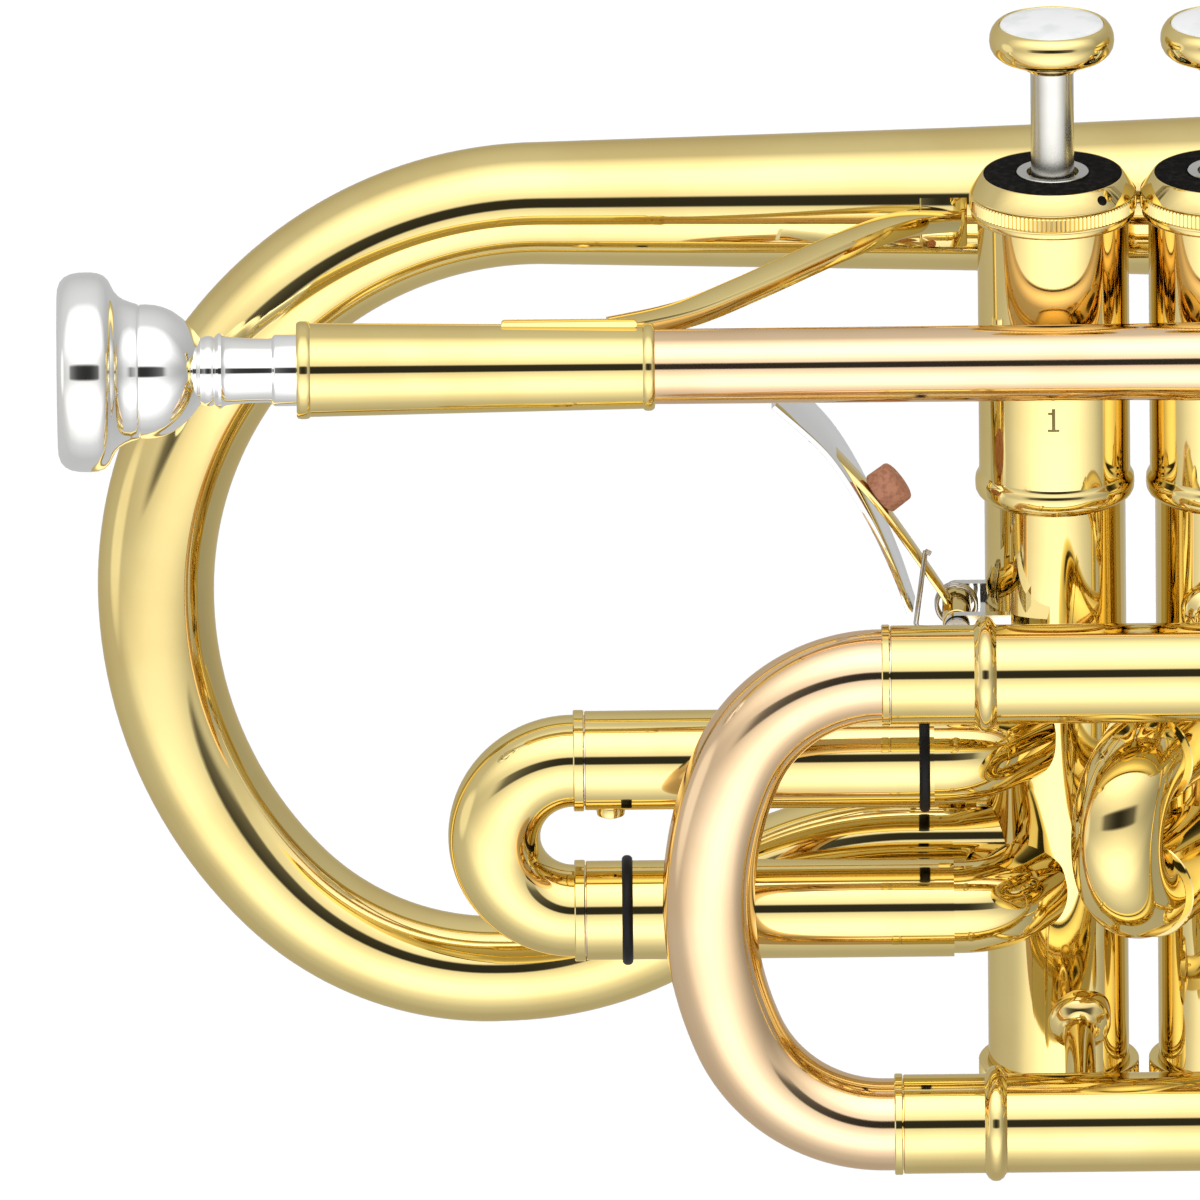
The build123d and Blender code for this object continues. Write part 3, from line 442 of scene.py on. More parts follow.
def addBlock(bm, low, high):
    size = [b - a for a, b in zip(low, high)]
    middle = [(a + b) / 2 for a, b in zip(low, high)]
    made = bmesh.ops.create_cube(bm, size=1.0)
    bmesh.ops.scale(bm, vec=size, verts=made["verts"])
    bmesh.ops.translate(bm, vec=middle, verts=made["verts"])


# ---- valves ----

valve = {
    "pitch": 23.7, "casingRadius": 9.8, "chamberRadius": 10.5, "chamberBore": 9.2, "bore": 8.42,
    "bottom": -68.0, "ledge": 22.56, "top": 65.2,
}
# turned shapes are lists of (height on the axis, radius) round the section
buttonShape = {
    "shell": [(82.9, 2.04), (82.9, 3.35), (83.1, 3.75), (83.5, 4.0), (83.9, 4.6), (84.25, 5.6), (84.6, 6.7),
              (85.0, 7.55), (85.6, 8.2), (86.3, 8.56), (87.1, 8.68), (87.9, 8.62), (88.6, 8.4), (89.2, 8.0),
              (89.5, 7.65), (89.6, 7.4), (89.45, 7.3), (88.2, 7.3), (88.2, 2.2), (86.5, 2.04)],
    "pearl": [(88.2, 0), (88.2, 7.26), (89.3, 7.26), (89.5, 7.15), (89.62, 6.9), (89.75, 6.0), (89.88, 4.5),
              (89.96, 2.5), (90.0, 0)],
}
capShape = {
    "round": 0.08,
    "ring": [(20.5, 9.78), (20.7, 9.95), (20.95, 10.3), (21.2, 10.75), (21.7, 11.0), (22.2, 11.05), (22.9, 11.05),
             (23.4, 11.0), (23.9, 10.75), (24.15, 10.6), (24.5, 10.5), (24.5, 10.3), (20.5, 9.6)],
    "bush": [(66.7, 3.62), (66.7, 5.0), (67.95, 5.0), (68.05, 4.9), (68.05, 4.0), (67.9, 3.62)],
    "top": [(61.6, 10.5), (61.6, 11.15), (61.9, 11.35), (62.5, 11.35), (62.7, 11.2), (64.9, 11.2), (65.1, 11.6),
            (65.3, 11.55), (67.45, 9.95), (67.7, 9.75), (67.7, 9.6), (66.7, 9.6), (66.7, 3.6), (65.9, 3.1),
            (65.2, 3.1), (65.2, 10.5)],
    "felt": [(66.7, 5.0), (67.5, 5.0), (67.75, 5.2), (67.8, 5.6), (67.8, 9.1), (67.7, 9.45), (67.5, 9.6),
             (66.7, 9.6)],
    "bottom": [(-62.5, 9.8), (-62.5, 11.0), (-62.8, 11.2), (-63.0, 10.8), (-66.2, 10.8), (-66.4, 11.2),
               (-66.8, 11.1), (-69.3, 9.6), (-70.0, 8.2), (-70.2, 3.6), (-71.3, 3.3), (-71.5, 3.0), (-71.5, 1.2),
               (-68.0, 1.2), (-68.0, 9.8)],
}
valveSpots = [(x, 0, 0) for x in (-valve["pitch"], 0.0, valve["pitch"])]
casingShape = [
    (valve["bottom"], valve["bore"]), (valve["bottom"], valve["casingRadius"]), (20.6, valve["casingRadius"]),
    (20.9, 9.95), (21.2, valve["chamberRadius"]), (valve["top"], valve["chamberRadius"]),
    (valve["top"], valve["chamberBore"]), (valve["ledge"], valve["chamberBore"]), (valve["ledge"], valve["bore"])]

for number, spot in enumerate(valveSpots, 1):
    lathePiece(f"valveCasing{number}", casingShape, spot, up, "body", "lacquered_brass",
               [f"valve_casing_{number}"])
    lathePiece(f"fingerButton{number}", buttonShape["shell"], spot, up, f"valve_{number}", "lacquered_brass",
               [f"button_{number}"])
    lathePiece(f"pearl{number}", buttonShape["pearl"], spot, up, f"valve_{number}", "pearl_inlay",
               [f"pearl_{number}"])

lathePiece("balanceRings", capShape["ring"], valveSpots, up, "body", "lacquered_brass", ["bead_rings"])
lathePiece("capBushes", capShape["bush"], valveSpots, up, "body", "satin_nickel")
lathePiece("topCaps", capShape["top"], valveSpots, up, "body", "lacquered_brass", ["top_caps"], capShape["round"])
lathePiece("capFelts", capShape["felt"], valveSpots, up, "body", "black_felt", ["cap_felts"])
lathePiece("bottomCaps", capShape["bottom"], valveSpots, up, "body", "lacquered_brass", ["bottom_caps"],
           capShape["round"])

knurl = {"teeth": 118, "depth": 0.22, "rise": 0.25, "root": 0.35,
         "topBand": (62.75, 64.85, 11.62), "bottomBand": (-66.2, -63.0, 11.15)}


def addKnurl(bm, spot, low, high, radius):
    # toothed ring: alternate points of the circle stand proud
    rise, root = knurl["rise"], radius - knurl["root"]
    heights = [(low, root, 0), (low + rise, radius, 1), (high - rise, radius, 1), (high, root, 0)]
    ring = bmesh.ops.create_circle(bm, segments=knurl["teeth"] * 2, radius=1.0,
                                   matrix=Matrix.Translation((spot[0], spot[1], 0)))
    edges = list({e for v in ring["verts"] for e in v.link_edges})
    verts = ring["verts"]
    for i, (z, size, proud) in enumerate(heights):
        if i:
            verts, edges = extrudeRing(bm, edges)
        for v in verts:
            angle = math.atan2(v.co.y - spot[1], v.co.x - spot[0])
            tooth = round(angle / math.tau * knurl["teeth"] * 2) % 2
            reach = size - (knurl["depth"] if proud and tooth else 0.0)
            v.co = (spot[0] + reach * math.cos(angle), spot[1] + reach * math.sin(angle), z)


bm = bmesh.new()
for spot in valveSpots:
    addKnurl(bm, spot, *knurl["topBand"])
    addKnurl(bm, spot, *knurl["bottomBand"])
makePiece("capKnurls", bm, "body", "lacquered_brass", sharpAngle=25)

vent = {"angle": -51.0, "middle": (66.4, 10.75), "lean": (1.6, 2.15), "radius": 0.72, "proud": 0.03, "sunk": 0.4}
ventTurn = math.radians(vent["angle"])
ventWay = Vector((math.cos(ventTurn), math.sin(ventTurn), 0))
# black discs sunk into the cap shoulders: painted shade standing in for the dark inside of each vent hole
lathePiece("capVentShadeDiscs", [(-vent["sunk"], 0), (-vent["sunk"], vent["radius"]), (vent["proud"], vent["radius"]),
                        (vent["proud"], 0)],
           [Vector(spot) + ventWay * vent["middle"][1] + up * vent["middle"][0] for spot in valveSpots],
           ventWay * vent["lean"][1] + up * vent["lean"][0], "body", "black_felt", segments=32)

numeral = {"size": 4.9, "height": 33.3, "shift": -0.2, "proud": 0.05, "sunk": 0.12, "half": 0.5,
           "serifs": [((-0.8, 0.0), (0.8, 0.32)), ((-0.75, 2.5), (-0.1, 2.8))]}
bm = bmesh.new()
for number, spot in enumerate(valveSpots, 1):
    text = bpy.data.curves.new(f"numeral{number}", "FONT")
    text.body, text.size, text.align_x, text.extrude = str(number), numeral["size"], "CENTER", numeral["half"]
    letter = bpy.data.objects.new(f"numeral{number}", text)
    flat = bpy.data.meshes.new_from_object(letter)
    before = set(bm.verts)
    bm.from_mesh(flat)
    for low, high in numeral["serifs"] if number == 1 else ():
        addBlock(bm, low + (-numeral["half"],), high + (numeral["half"],))
    for v in set(bm.verts) - before:
        # wrap the flat figure round the casing
        reach = valve["chamberRadius"] + (numeral["proud"] if v.co.z > 0 else -numeral["sunk"])
        turn = (v.co.x + numeral["shift"]) / valve["chamberRadius"]
        v.co = (spot[0] + reach * math.sin(turn), -reach * math.cos(turn), numeral["height"] + v.co.y)
    bpy.data.objects.remove(letter)
    bpy.data.meshes.remove(flat)
makePiece("casingNumerals", bm, "body", "engraving")
print("valves made")

# ---- leadpipe side ----

lead = {
    "y": -18.0, "z": 46.1, "rim": -161.8,
    "receiver": [(-128.7, 5.0), (-128.7, 6.45), (-128.5, 6.7), (-128.1, 6.8), (-127.4, 6.8), (-127.0, 6.7),
                 (-126.8, 6.5), (-103.0, 6.14), (-80.75, 5.82), (-80.5, 6.05), (-80.1, 6.12), (-79.6, 6.08),
                 (-79.25, 5.9), (-79.1, 5.6), (-79.1, 5.2), (-100.0, 5.2), (-102.0, 4.7)],
    "pipe": [(-100.0, 4.6), (-100.0, 5.2), (-79.0, 5.2), (-46.0, 5.25), (-13.0, 5.3), (20.0, 5.8), (62.0, 6.4),
             (62.0, 5.85), (20.0, 5.3)],
    "mouthpiece": [
        (1.3, 8.25), (0.9, 8.45), (0.45, 8.9), (0.12, 9.6), (0.0, 10.5), (0.08, 11.5), (0.4, 12.45), (1.0, 13.15),
        (1.9, 13.6), (3.0, 13.8), (4.6, 13.83), (5.6, 13.72), (6.5, 13.35), (7.1, 12.75), (7.5, 12.0),
        (7.9, 11.2), (8.5, 10.5), (9.3, 10.0), (10.2, 9.65), (10.9, 9.45), (11.2, 9.3), (11.35, 9.12),
        (11.5, 9.3), (12.4, 9.32), (13.6, 9.2), (14.8, 8.9), (16.0, 8.35), (17.2, 7.5), (18.2, 6.6),
        (19.0, 5.65), (19.5, 4.95), (19.8, 4.6), (20.05, 4.6), (20.4, 4.8), (21.0, 4.88), (21.5, 4.75),
        (21.7, 4.6), (21.95, 4.9), (22.3, 5.2), (22.7, 5.2), (23.0, 4.95), (23.3, 4.78), (24.5, 4.62),
        (26.5, 4.5), (29.2, 4.42), (29.7, 4.5), (29.95, 4.85), (30.2, 4.97), (33.1, 4.96), (58.8, 4.58),
        (58.8, 4.15), (41.8, 3.3), (24.0, 2.2), (19.0, 1.85), (16.0, 1.85), (15.2, 2.1), (14.4, 2.9),
        (13.4, 4.1), (12.0, 5.3), (10.0, 6.5), (8.0, 7.3), (5.0, 7.95), (3.0, 8.15)],
}
leadSpot = (0, lead["y"], lead["z"])
lathePiece("mouthpieceReceiver", lead["receiver"], leadSpot, along, "body", "lacquered_brass",
           ["mouthpiece_receiver"])
lathePiece("leadpipe", lead["pipe"], leadSpot, along, "body", "rose_brass", ["leadpipe"])
lathePiece("mouthpieceCup", lead["mouthpiece"], (lead["rim"], lead["y"], lead["z"]), along, "mouthpiece_body",
           "silver_plate", ["mouthpiece"], segments=128)

tuning = {
    "y": -34.0, "upper": 6.1, "lower": -60.0, "upperEnds": (-46.9, 5.7), "lowerEnds": (-45.6, 50.0),
    "ferrules": (-48.15, -46.85), "beads": (-33.8, -32.8), "legLength": 44.0, "bowAngle": 67.0,
    "bowDepth": 24.2, "bowRun": 1.3,
}
upperEnd, lowerEnd = tuning["upperEnds"][1], tuning["lowerEnds"][1]

frontBow = {"start": 62.0, "run": 12.0, "ferrules": (10.0, 12.0, 3.0)}
bowDrop = Vector((0, tuning["y"] - lead["y"], tuning["lower"] - lead["z"]))
bm = bmesh.new()
addTube(bm, (frontBow["start"], lead["y"], lead["z"]), along, [
    ("bend", bowDrop.length / 2, 180, bowDrop, None), ("run", frontBow["run"], None)], tubeSize["radius"])
makePiece("frontBow", bm, "body", "lacquered_brass", ["front_bow"])


def ferrule(length):
    # sleeve with a fine line cut near each end
    radius = tubeSize["ferrule"]
    return [(0, 6.3), (0, radius - 0.15), (0.15, radius), (0.9, radius), (1.0, radius - 0.12), (1.1, radius),
            (length - 1.1, radius), (length - 1.0, radius - 0.12), (length - 0.9, radius), (length - 0.15, radius),
            (length, radius - 0.15), (length, 6.3)]


def sleeve(length):
    radius = tubeSize["sleeve"]
    return [(0, 6.4), (0, radius - 0.12), (0.12, radius), (length, radius), (length, 6.4)]


def bead(radius, proud=1.15, half=1.3):
    # rounded ring between two small steps
    side = [(half + 0.35, -0.1), (half + 0.1, 0.12), (half * 0.8, proud * 0.6), (half * 0.4, proud * 0.93)]
    return ([(-x, radius + r) for x, r in side] + [(0, radius + proud)]
            + [(x, radius + r) for x, r in reversed(side)])


bm = bmesh.new()
for length, start in zip(frontBow["ferrules"], (
        (frontBow["start"] - 10.0, lead["y"], lead["z"]), (lowerEnd, tuning["y"], tuning["lower"]),
        (upperEnd, tuning["y"], tuning["upper"]))):
    addLathe(bm, ferrule(length), start, along)
makePiece("leadFerrules", bm, "body", "lacquered_brass")

for name, ends, height in (("lower", tuning["lowerEnds"], tuning["lower"]),
                           ("upper", tuning["upperEnds"], tuning["upper"])):
    lathePiece(f"{name}TuningSleeve", sleeve(ends[1] - ends[0]), (ends[0], tuning["y"], height), along, "body",
               "lacquered_brass", [f"{name}_tuning_sleeve"])
bm = bmesh.new()
for x, height in zip(tuning["beads"], (tuning["upper"], tuning["lower"])):
    addLathe(bm, bead(tubeSize["sleeve"]), (x, tuning["y"], height), along)
makePiece("sleeveBeads", bm, "body", "lacquered_brass")

thirdInlet = {"run": 3.0, "bend": 15.0, "towards": (0, 1, -6.6 / 34), "reach": 9.6}
bm = bmesh.new()
addTube(bm, (upperEnd, tuning["y"], tuning["upper"]), along, [
    ("run", thirdInlet["run"], None), ("bend", thirdInlet["bend"], 90, thirdInlet["towards"], None),
    ("run", thirdInlet["reach"], None)], tubeSize["radius"])
makePiece("thirdValveInlet", bm, "body", "lacquered_brass", ["third_valve_inlet"])

# ---- main tuning slide ----

# corner and back radii that give the bow its width and depth
bowTilt = math.radians(tuning["bowAngle"])
bowHalf = (tuning["upper"] - tuning["lower"]) / 2
bowBack = ((tuning["bowDepth"] * (1 - math.cos(bowTilt)) - bowHalf * math.sin(bowTilt))
           / ((1 - math.cos(bowTilt)) * (1 - math.sin(bowTilt)) - math.cos(bowTilt) * math.sin(bowTilt)))
bowCorner = (bowHalf - bowBack * math.cos(bowTilt)) / (1 - math.cos(bowTilt))
legSpots = [(x, tuning["y"], z) for x, z in zip(tuning["ferrules"], (tuning["upper"], tuning["lower"]))]

bm = bmesh.new()
addTube(bm, legSpots[0], -along, [
    ("bend", bowCorner, tuning["bowAngle"], down, None),
    ("bend", bowBack, 180 - 2 * tuning["bowAngle"], along, None),
    ("bend", bowCorner, tuning["bowAngle"], along, None), ("run", tuning["bowRun"], None)],
    tubeSize["radius"], stepAngle=1.5)
makePiece("tuningBow", bm, "tuning_slide", "rose_brass", ["tuning_bow"])

endRing = [(0, 6.36), (0, 6.9), (0.15, 7.05), (1.0, 7.05), (1.15, 6.9), (1.15, 6.36)]
bm = bmesh.new()
for spot in legSpots:
    addLathe(bm, endRing, spot, along)
makePiece("tuningFerrules", bm, "tuning_slide", "lacquered_brass", ["tuning_ferrules"])
bm = bmesh.new()
for spot in legSpots:
    addLathe(bm, [(0, tubeSize["bore"]), (0, tubeSize["leg"]), (tuning["legLength"] - 0.2, tubeSize["leg"]),
                  (tuning["legLength"], 6.15), (tuning["legLength"], tubeSize["bore"])], spot, along)
makePiece("tuningLegs", bm, "tuning_slide", "bright_nickel", ["tuning_legs"])
print("leadpipe side made")

# ---- bell ----

bell = {
    "y": 26.0, "z": 55.0, "rim": 190.0, "rimRadius": 58.0, "throat": -38.0, "throatRadius": 9.9, "power": 0.75,
    "wall": 0.6, "bead": 1.5, "straight": 56.9, "bends": (53.9, 59.1, 41.3), "drop": (0, -20.0, -105.9),
    "taper": (8.5, 8.1, 7.66, 7.35), "portHeight": -29.7, "inletBend": 42.0, "inletRun": 1.5,
    "inletTaper": (7.3, 6.95, 6.6), "portX": -25.7,
}


def flareRadius(x, values):
    ratio = (values["rimRadius"] / values["throatRadius"]) ** (1 / values["power"])
    shift = (values["rim"] - values["throat"]) / (ratio - 1)
    return values["rimRadius"] * (shift / (values["rim"] - x + shift)) ** values["power"]


def bellProfile(values):
    # wall section from the throat out to the rolled rim and back along the inside
    count, last = 70, values["rim"] - 0.8
    stops = [last - (last - values["throat"]) * (1 - i / count) ** 1.6 for i in range(count + 1)]
    outer = [(x, flareRadius(x, values)) for x in stops]
    inner = [(x, r - values["wall"]) for x, r in reversed(outer)]
    middle, size = values["rim"] - values["bead"], values["bead"]
    rim = [(middle + size * math.cos(a), values["rimRadius"] + size * math.sin(a))
           for a in [math.radians(200 - 290 * i / 16) for i in range(17)]]
    outer = [point for point in outer if point[0] < middle - size]
    return outer + rim + inner


bm = bmesh.new()
addLathe(bm, bellProfile(bell), (0, bell["y"], bell["z"]), along, segments=144)
makePiece("bellFlare", bm, "body", "lacquered_brass", ["bell_flare"])

afterRun, afterBack, afterTurn, crookRadius = bell["taper"]
bm = bmesh.new()
crookEnd, _ = addTube(bm, (bell["throat"], bell["y"], bell["z"]), -along, [
    ("run", bell["straight"], afterRun), ("bend", bell["bends"][0], 90, bell["drop"], afterBack),
    ("bend", bell["bends"][1], 45, along, afterTurn), ("bend", bell["bends"][2], 45, along, crookRadius)],
    bell["throatRadius"], segments=96, stepAngle=2.0)
makePiece("bellCrook", bm, "body", "lacquered_brass", ["bell_crook"])

# two equal bends take the inlet up and across to the first casing
inletRise = Vector((0, -crookEnd.y, bell["portHeight"] - crookEnd.z))
inletAngle = math.degrees(math.acos(1 - inletRise.length / (2 * bell["inletBend"])))
inletReach = 2 * bell["inletBend"] * math.sin(math.radians(inletAngle))
runRadius, middleRadius, portRadius = bell["inletTaper"]
bm = bmesh.new()
addTube(bm, crookEnd, along, [
    ("run", bell["inletRun"], runRadius), ("bend", bell["inletBend"], inletAngle, inletRise, middleRadius),
    ("bend", bell["inletBend"], inletAngle, -inletRise, portRadius),
    ("run", bell["portX"] - crookEnd.x - bell["inletRun"] - inletReach, portRadius)], crookRadius, stepAngle=2.0)
makePiece("bellInletTube", bm, "body", "lacquered_brass", ["bell_inlet_tube"])
print("bell made")

# ---- valve slides ----


def slideBow(name, start, way, spacing, body, replaced):
    bm = bmesh.new()
    addTube(bm, start, way, [("bend", spacing / 2, 180, down, None)], tubeSize["radius"], segments=80)
    for drop in (0, spacing):
        addLathe(bm, [(-1.5, 6.3), (-1.5, 6.9), (-1.35, 7.05), (-0.15, 7.05), (0, 6.9), (0, 6.3)],
                 Vector(start) + down * drop, way)
    makePiece(name, bm, body, "lacquered_brass", replaced)


def slideLegs(name, start, way, spacing, length, body, replaced):
    bore, radius = tubeSize["bore"], tubeSize["leg"]
    bm = bmesh.new()
    for drop in (0, spacing):
        addLathe(bm, [(-length - 1.5, bore), (-length - 1.5, radius - 0.2), (-length - 1.3, radius),
                      (-1.5, radius), (-1.5, bore)], Vector(start) + down * drop, way)
    makePiece(name, bm, body, "bright_nickel", replaced)


firstSlide = {
    "y": -16.0, "heights": (-12.4, -34.5), "start": -90.95, "sleeves": -89.35, "legs": 34.0,
    "elbowAngles": (52.0, 60.0), "elbow": 7.5, "stopBefore": 8.6, "nib": -85.8, "rings": (-83.6, -42.2),
}
firstY = firstSlide["y"]
firstStart = (firstSlide["start"], firstY, firstSlide["heights"][0])
firstSpacing = firstSlide["heights"][0] - firstSlide["heights"][1]
slideBow("firstSlideBow", firstStart, -along, firstSpacing, "first_slide", ["first_slide_bow"])
slideLegs("firstSlideLegs", firstStart, -along, firstSpacing, firstSlide["legs"], "first_slide",
          ["first_slide_legs"])
bm = bmesh.new()
for height, angle in zip(firstSlide["heights"], firstSlide["elbowAngles"]):
    # the sleeve runs straight, then an elbow turns in to the casing
    turn, bend = math.radians(angle), firstSlide["elbow"]
    entry = (-firstY - bend * (1 - math.cos(turn))) / math.sin(turn)
    elbowStart = -valve["pitch"] - entry * math.cos(turn) - bend * math.sin(turn)
    addLathe(bm, sleeve(elbowStart - 1 - firstSlide["sleeves"]), (firstSlide["sleeves"], firstY, height), along)
    addTube(bm, (elbowStart - 3, firstY, height), along, [
        ("run", 3.0, None), ("bend", bend, angle, (0, 1, 0), None),
        ("run", entry - firstSlide["stopBefore"], None)], tubeSize["radius"] + 0.05)
nibShape = [(0, 0), (0, 1.5), (0.15, 1.75), (0.9, 2.0), (1.5, 1.9), (1.8, 1.3), (1.85, 0)]
addLathe(bm, nibShape, (firstSlide["nib"], firstY, firstSlide["heights"][0] - tubeSize["radius"]), down)
makePiece("firstSlideSleeves", bm, "body", "lacquered_brass", ["first_slide_sleeves"])
ringShape = [(-0.75, 6.9), (-0.72, 7.25), (-0.5, 7.52), (-0.2, 7.64), (0.2, 7.64), (0.5, 7.52), (0.72, 7.25),
             (0.75, 6.9)]
bm = bmesh.new()
for x, height in zip(firstSlide["rings"], reversed(firstSlide["heights"])):
    addLathe(bm, ringShape, (x, firstY, height), along)
makePiece("firstSlideBumpers", bm, "body", "black_rubber", ["first_slide_bumpers"])

secondSlide = {"angle": 244.0, "start": 26.1, "sleeves": (6.5, 24.5), "heights": (-10.0, -29.5), "legs": 13.0}
secondTurn = math.radians(secondSlide["angle"])
secondWay = Vector((math.cos(secondTurn), math.sin(secondTurn), 0))
secondStart = secondWay * secondSlide["start"] + up * secondSlide["heights"][0]
secondSpacing = secondSlide["heights"][0] - secondSlide["heights"][1]
slideBow("secondSlideBow", secondStart, secondWay, secondSpacing, "second_slide", ["second_slide_bow"])
slideLegs("secondSlideLegs", secondStart, secondWay, secondSpacing, secondSlide["legs"], "second_slide",
          ["second_slide_legs"])
sleeveStart, sleeveEnd = secondSlide["sleeves"]
lathePiece("secondSlideSleeves", sleeve(sleeveEnd - sleeveStart),
           [secondWay * sleeveStart + up * z for z in secondSlide["heights"]], secondWay, "body",
           "lacquered_brass", ["second_slide_sleeves"])

thirdSlide = {"start": 93.6, "sleeves": (30.5, 92.0), "heights": (-11.0, -33.0), "legs": 34.0}
thirdStart = (thirdSlide["start"], 0, thirdSlide["heights"][0])
thirdSpacing = thirdSlide["heights"][0] - thirdSlide["heights"][1]
slideBow("thirdSlideBow", thirdStart, along, thirdSpacing, "third_slide", ["third_slide_bow"])
slideLegs("thirdSlideLegs", thirdStart, along, thirdSpacing, thirdSlide["legs"], "third_slide",
          ["third_slide_legs"])
sleeveStart, sleeveEnd = thirdSlide["sleeves"]
lathePiece("thirdSlideSleeves", sleeve(sleeveEnd - sleeveStart),
           [(sleeveEnd, 0, z) for z in thirdSlide["heights"]], -along, "body", "lacquered_brass",
           ["third_slide_sleeves"])

valveLink = {"inner": 8.2, "outer": 15.5, "heights": (-18.0, -6.0)}
bm = bmesh.new()
for side, z in zip((-1, 1), valveLink["heights"]):
    low, high = sorted((side * valveLink["inner"], side * valveLink["outer"]))
    addRod(bm, (low, 0, z), (high, 0, z), tubeSize["radius"], segments=72)
makePiece("valveLinks", bm, "body", "lacquered_brass", ["valve_link_tubes"])
print("slides made")

# ---- braces and straps ----

brace = {
    "rod": 2.15, "seat": 0.2, "casingFoot": (0.4, 4.4, 2.4), "sleeveFoot": (6.9, 3.6, 1.8),
    # rods from the casings to the tuning slide sleeves: x, y, z, sleeve height, casing x
    "casings": [(-20.9, -9.0, -54.0, tuning["lower"], -valve["pitch"]),
                (23.7, -9.4, -54.0, tuning["lower"], valve["pitch"]), (-2.0, -9.2, 6.1, tuning["upper"], 0.0)],
    "thirdX": 62, "thirdRod": 1.6, "thirdFoot": (6.9, 3.0, 1.4),
    "bellX": 43.0, "leadFoot": (6.2, 4.2, 2.2), "bellFoot": (4.6, 2.2),
    "stub": (23.7, 10.1, 51.3, 14.5, 52.1, 3.0),
}


def seatVerts(verts, point, axis, radius, way):
    # push the verts that lie inside a tube out to its surface, along way
    axis, way = Vector(axis), Vector(way)
    across = way - axis * way.dot(axis)
    for v in verts:
        offset = v.co - Vector(point)
        offset -= axis * offset.dot(axis)
        if offset.length < radius:
            lean, size = offset.dot(across), across.length_squared
            v.co += way * ((-lean + math.sqrt(lean ** 2 - size * (offset.length_squared - radius ** 2))) / size)


def addBrace(bm, start, end, feet, radius):
    # turned rod with a domed foot at each end
    # feet are (distance in, radius, height, tube point, tube axis, tube radius)
    start, end = Vector(start), Vector(end)
    way = (end - start).normalized()
    before = set(bm.verts)
    addRod(bm, start, end, radius)
    for (shift, size, rise, *tube), point, turn in ((feet[0], start, way), (feet[1], end, -way)):
        profile = [(-4, 0), (-4, size), (0.0, size), (rise * 0.25, size * 0.98), (rise * 0.5, size * 0.86),
                   (rise * 0.72, size * 0.68), (rise * 0.9, size * 0.55), (rise * 1.1, size * 0.5),
                   (rise * 1.1, 0)]
        addLathe(bm, profile, point + turn * shift, turn, segments=64)
        seatVerts(set(bm.verts) - before, tube[0], tube[1], tube[2] - brace["seat"], turn)


bm = bmesh.new()
for x, y, z, height, casing in brace["casings"]:
    end = (x, tuning["y"], height)
    addBrace(bm, (x, y, z), end, [(*brace["casingFoot"], (casing, 0, z), up, valve["casingRadius"]),
                                  (*brace["sleeveFoot"], end, along, tubeSize["sleeve"])], brace["rod"])
thirdEnds = [(brace["thirdX"], 0, z) for z in thirdSlide["heights"]]
addBrace(bm, *thirdEnds, [(*brace["thirdFoot"], end, along, tubeSize["sleeve"]) for end in thirdEnds],
         brace["thirdRod"])
makePiece("sleeveBraces", bm, "body", "lacquered_brass", ["sleeve_braces"])

bellRadius = flareRadius(brace["bellX"], bell)
bellEnds = [(brace["bellX"], lead["y"], lead["z"]), (brace["bellX"], bell["y"], bell["z"])]
stubX, nearY, nearZ, farY, farZ, stubRadius = brace["stub"]
bm = bmesh.new()
addBrace(bm, *bellEnds, [(*brace["leadFoot"], bellEnds[0], along, 6.1),
                         (bellRadius, *brace["bellFoot"], bellEnds[1], along, bellRadius)], brace["rod"])
addRod(bm, (stubX, nearY, nearZ), (stubX, farY, farZ), stubRadius)
makePiece("bellBraces", bm, "body", "lacquered_brass", ["bell_braces"])

strap = {
    "line": [(-85, -13.6, 50.0), (-75, -9.9, 50.9), (-66, -5.6, 53.1), (-54, 1.5, 56.2), (-45, 8.6, 57.2),
             (-38, 16.0, 55.4)],
    "width": 4.4, "thickness": 2.8, "across": (-0.68, 0.73, 0), "footThickness": 0.9,
    # feet: x, tube centre y and z, radius, first and last angle, width
    "feet": [(-90.9, lead["y"], lead["z"], 6.25, 2, 92, 18.8),
             (-38.8, bell["y"], bell["z"], 10.1, 160, 200, 6.6)],
}
bm = bmesh.new()
addBar(bm, strap["line"], strap["width"], strap["thickness"], strap["across"], steps=8, corner=0.6)
for x, y, z, radius, first, last, width in strap["feet"]:
    turns = [math.radians(first + (last - first) * i / 6) for i in range(7)]
    addBar(bm, [(x, y + radius * math.cos(a), z + radius * math.sin(a)) for a in turns], width,
           strap["footThickness"], along, steps=3, corner=0.4)
makePiece("receiverStrap", bm, "body", "lacquered_brass", ["receiver_strap"])
print("braces made")

# ---- trigger ----

trigger = {
    "x": -37.5, "z": 5.1, "y": (-10.0, 1.3), "hinge": (1.05, 2.0), "pinHeight": -12.9, "pinRadius": 1.0,
    # lines are (x, z), seen from the side
    "plate": [(-43.4, 6.6), (-45.7, 13.2), (-49.4, 21.4), (-54.8, 30.2), (-62.3, 37.8)],
    "plateDepths": [-6.1, -5.2, -4.2, -2.8, -2.6], "plateWidth": 14.0, "plateThickness": 0.86,
    "strip": [(-38.6, 6.2), (-44.2, 14.9), (-49.5, 22.5), (-55.2, 29.0), (-57.9, 31.5)],
    "stripY": -6.0, "stripWidth": 5.3, "stripThickness": 0.9,
    "corkFoot": (-48.4, 22.6), "corkLean": (11.6, 15.0), "corkLift": 1.1,
    "cork": [(-0.8, 0), (-0.8, 2.8), (-0.65, 3.0), (-0.5, 3.08), (2.4, 3.02), (2.65, 2.85), (2.8, 2.5), (2.8, 0)],
    "spring": [(-38.6, -10.6, 2.7), (-42.4, -10.4, 3.2), (-43.2, -9.6, 5.0), (-41.8, -9.4, 15.6),
               (-41.1, -9.3, 15.2)],
    "wire": 0.36,
}


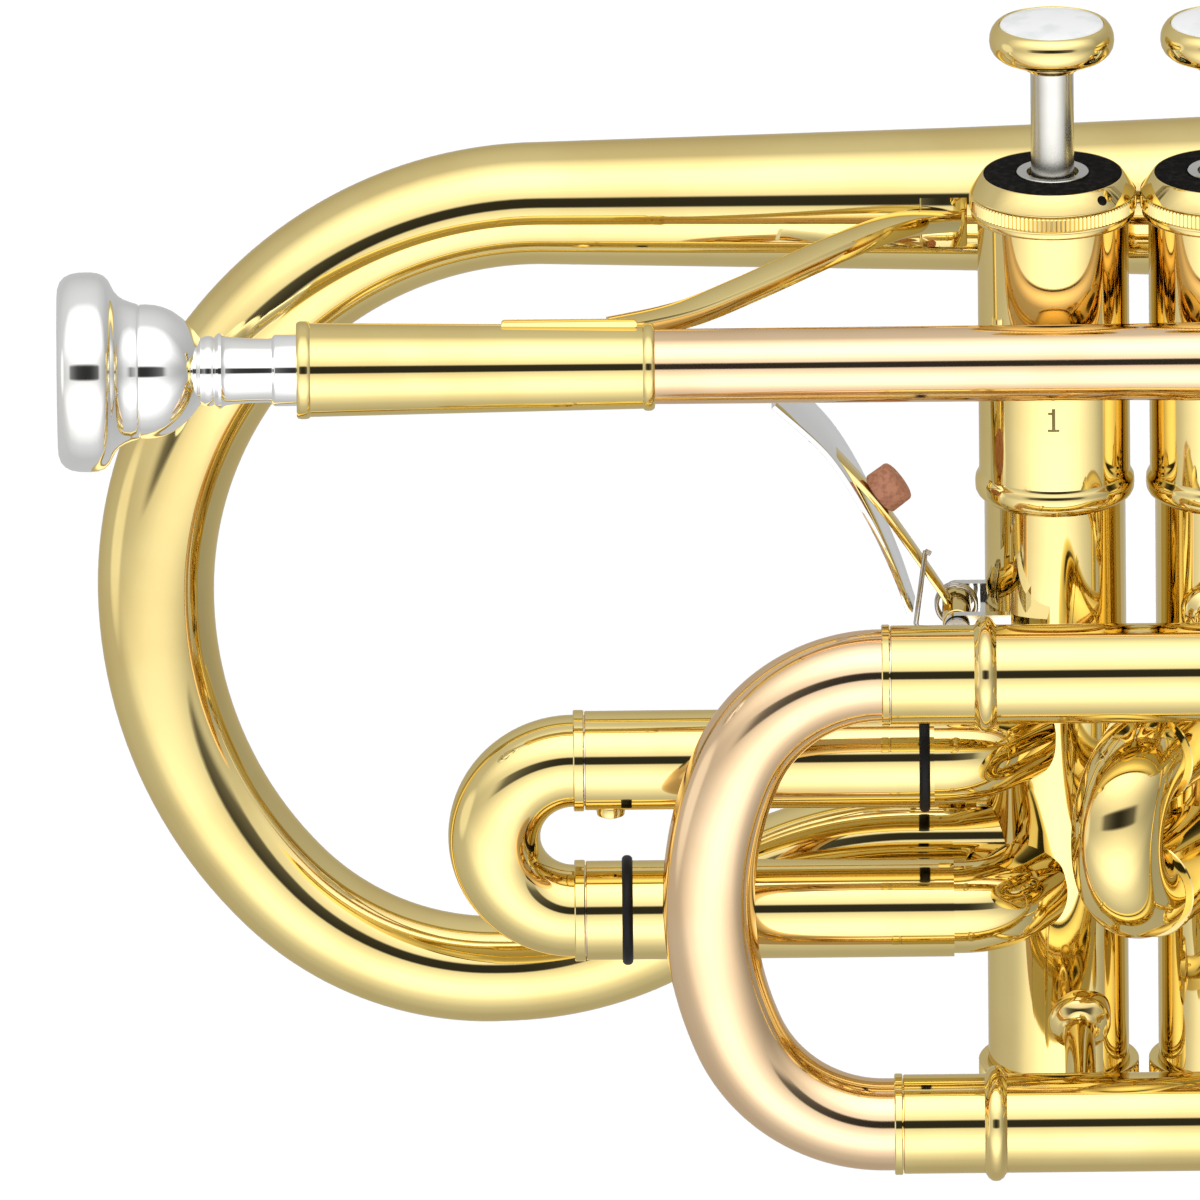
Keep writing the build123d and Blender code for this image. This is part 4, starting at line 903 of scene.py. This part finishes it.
def leverPath(points, shift, depths):
    # points moved sideways in their own plane, with a depth for each
    path = []
    for i, (x, z) in enumerate(points):
        before, after = points[max(i - 1, 0)], points[min(i + 1, len(points) - 1)]
        run = Vector((after[0] - before[0], after[1] - before[1])).normalized()
        path.append((x + run.y * shift, depths[i], z - run.x * shift))
    return path


bm = bmesh.new()
addBar(bm, leverPath(trigger["plate"], -0.45, trigger["plateDepths"]), trigger["plateWidth"],
       trigger["plateThickness"], (0, 1, 0), corner=0.3, ends=(0.73, 1.22))
makePiece("triggerPlate", bm, "trigger", "silver_plate", ["trigger_plate"])

bm = bmesh.new()
stripPath = leverPath(trigger["strip"], 0.5, [trigger["stripY"]] * len(trigger["strip"]))
addBar(bm, stripPath, trigger["stripWidth"], trigger["stripThickness"], (0, 1, 0), corner=0.3, ends=(0.5, 1.0))
(near, far), (pinHole, barrel) = trigger["y"], trigger["hinge"]
addLathe(bm, [(near, pinHole), (near, barrel - 0.2), (near + 0.15, barrel), (far - 0.15, barrel),
              (far, barrel - 0.2), (far, pinHole)], (trigger["x"], 0, trigger["z"]), (0, 1, 0), segments=48)
pinX, pinZ = trigger["x"], trigger["pinHeight"]
addBlock(bm, (pinX - 1.8, -7.4, 5.4), (pinX - 0.1, -4.6, 7.0))
addBlock(bm, (pinX - 1.1, -0.4, pinZ - 1.4), (pinX + 1.1, far, 4.0))
addRod(bm, (pinX, -4.1, pinZ), (pinX, 0.4, pinZ), trigger["pinRadius"])
makePiece("triggerStrip", bm, "trigger", "lacquered_brass", ["trigger_lever"])

lean = Vector((trigger["corkLean"][1], 0, trigger["corkLean"][0])).normalized()
footX, footZ = trigger["corkFoot"]
lathePiece("triggerCork", trigger["cork"], Vector((footX, trigger["stripY"], footZ)) + lean * trigger["corkLift"],
           lean, "trigger", "cork_bumper", ["trigger_cork"], segments=48)
bm = bmesh.new()
for start, end in zip(trigger["spring"], trigger["spring"][1:]):
    addRod(bm, start, end, trigger["wire"], segments=20)
makePiece("springArm", bm, "trigger", "spring_steel")
print("trigger made")
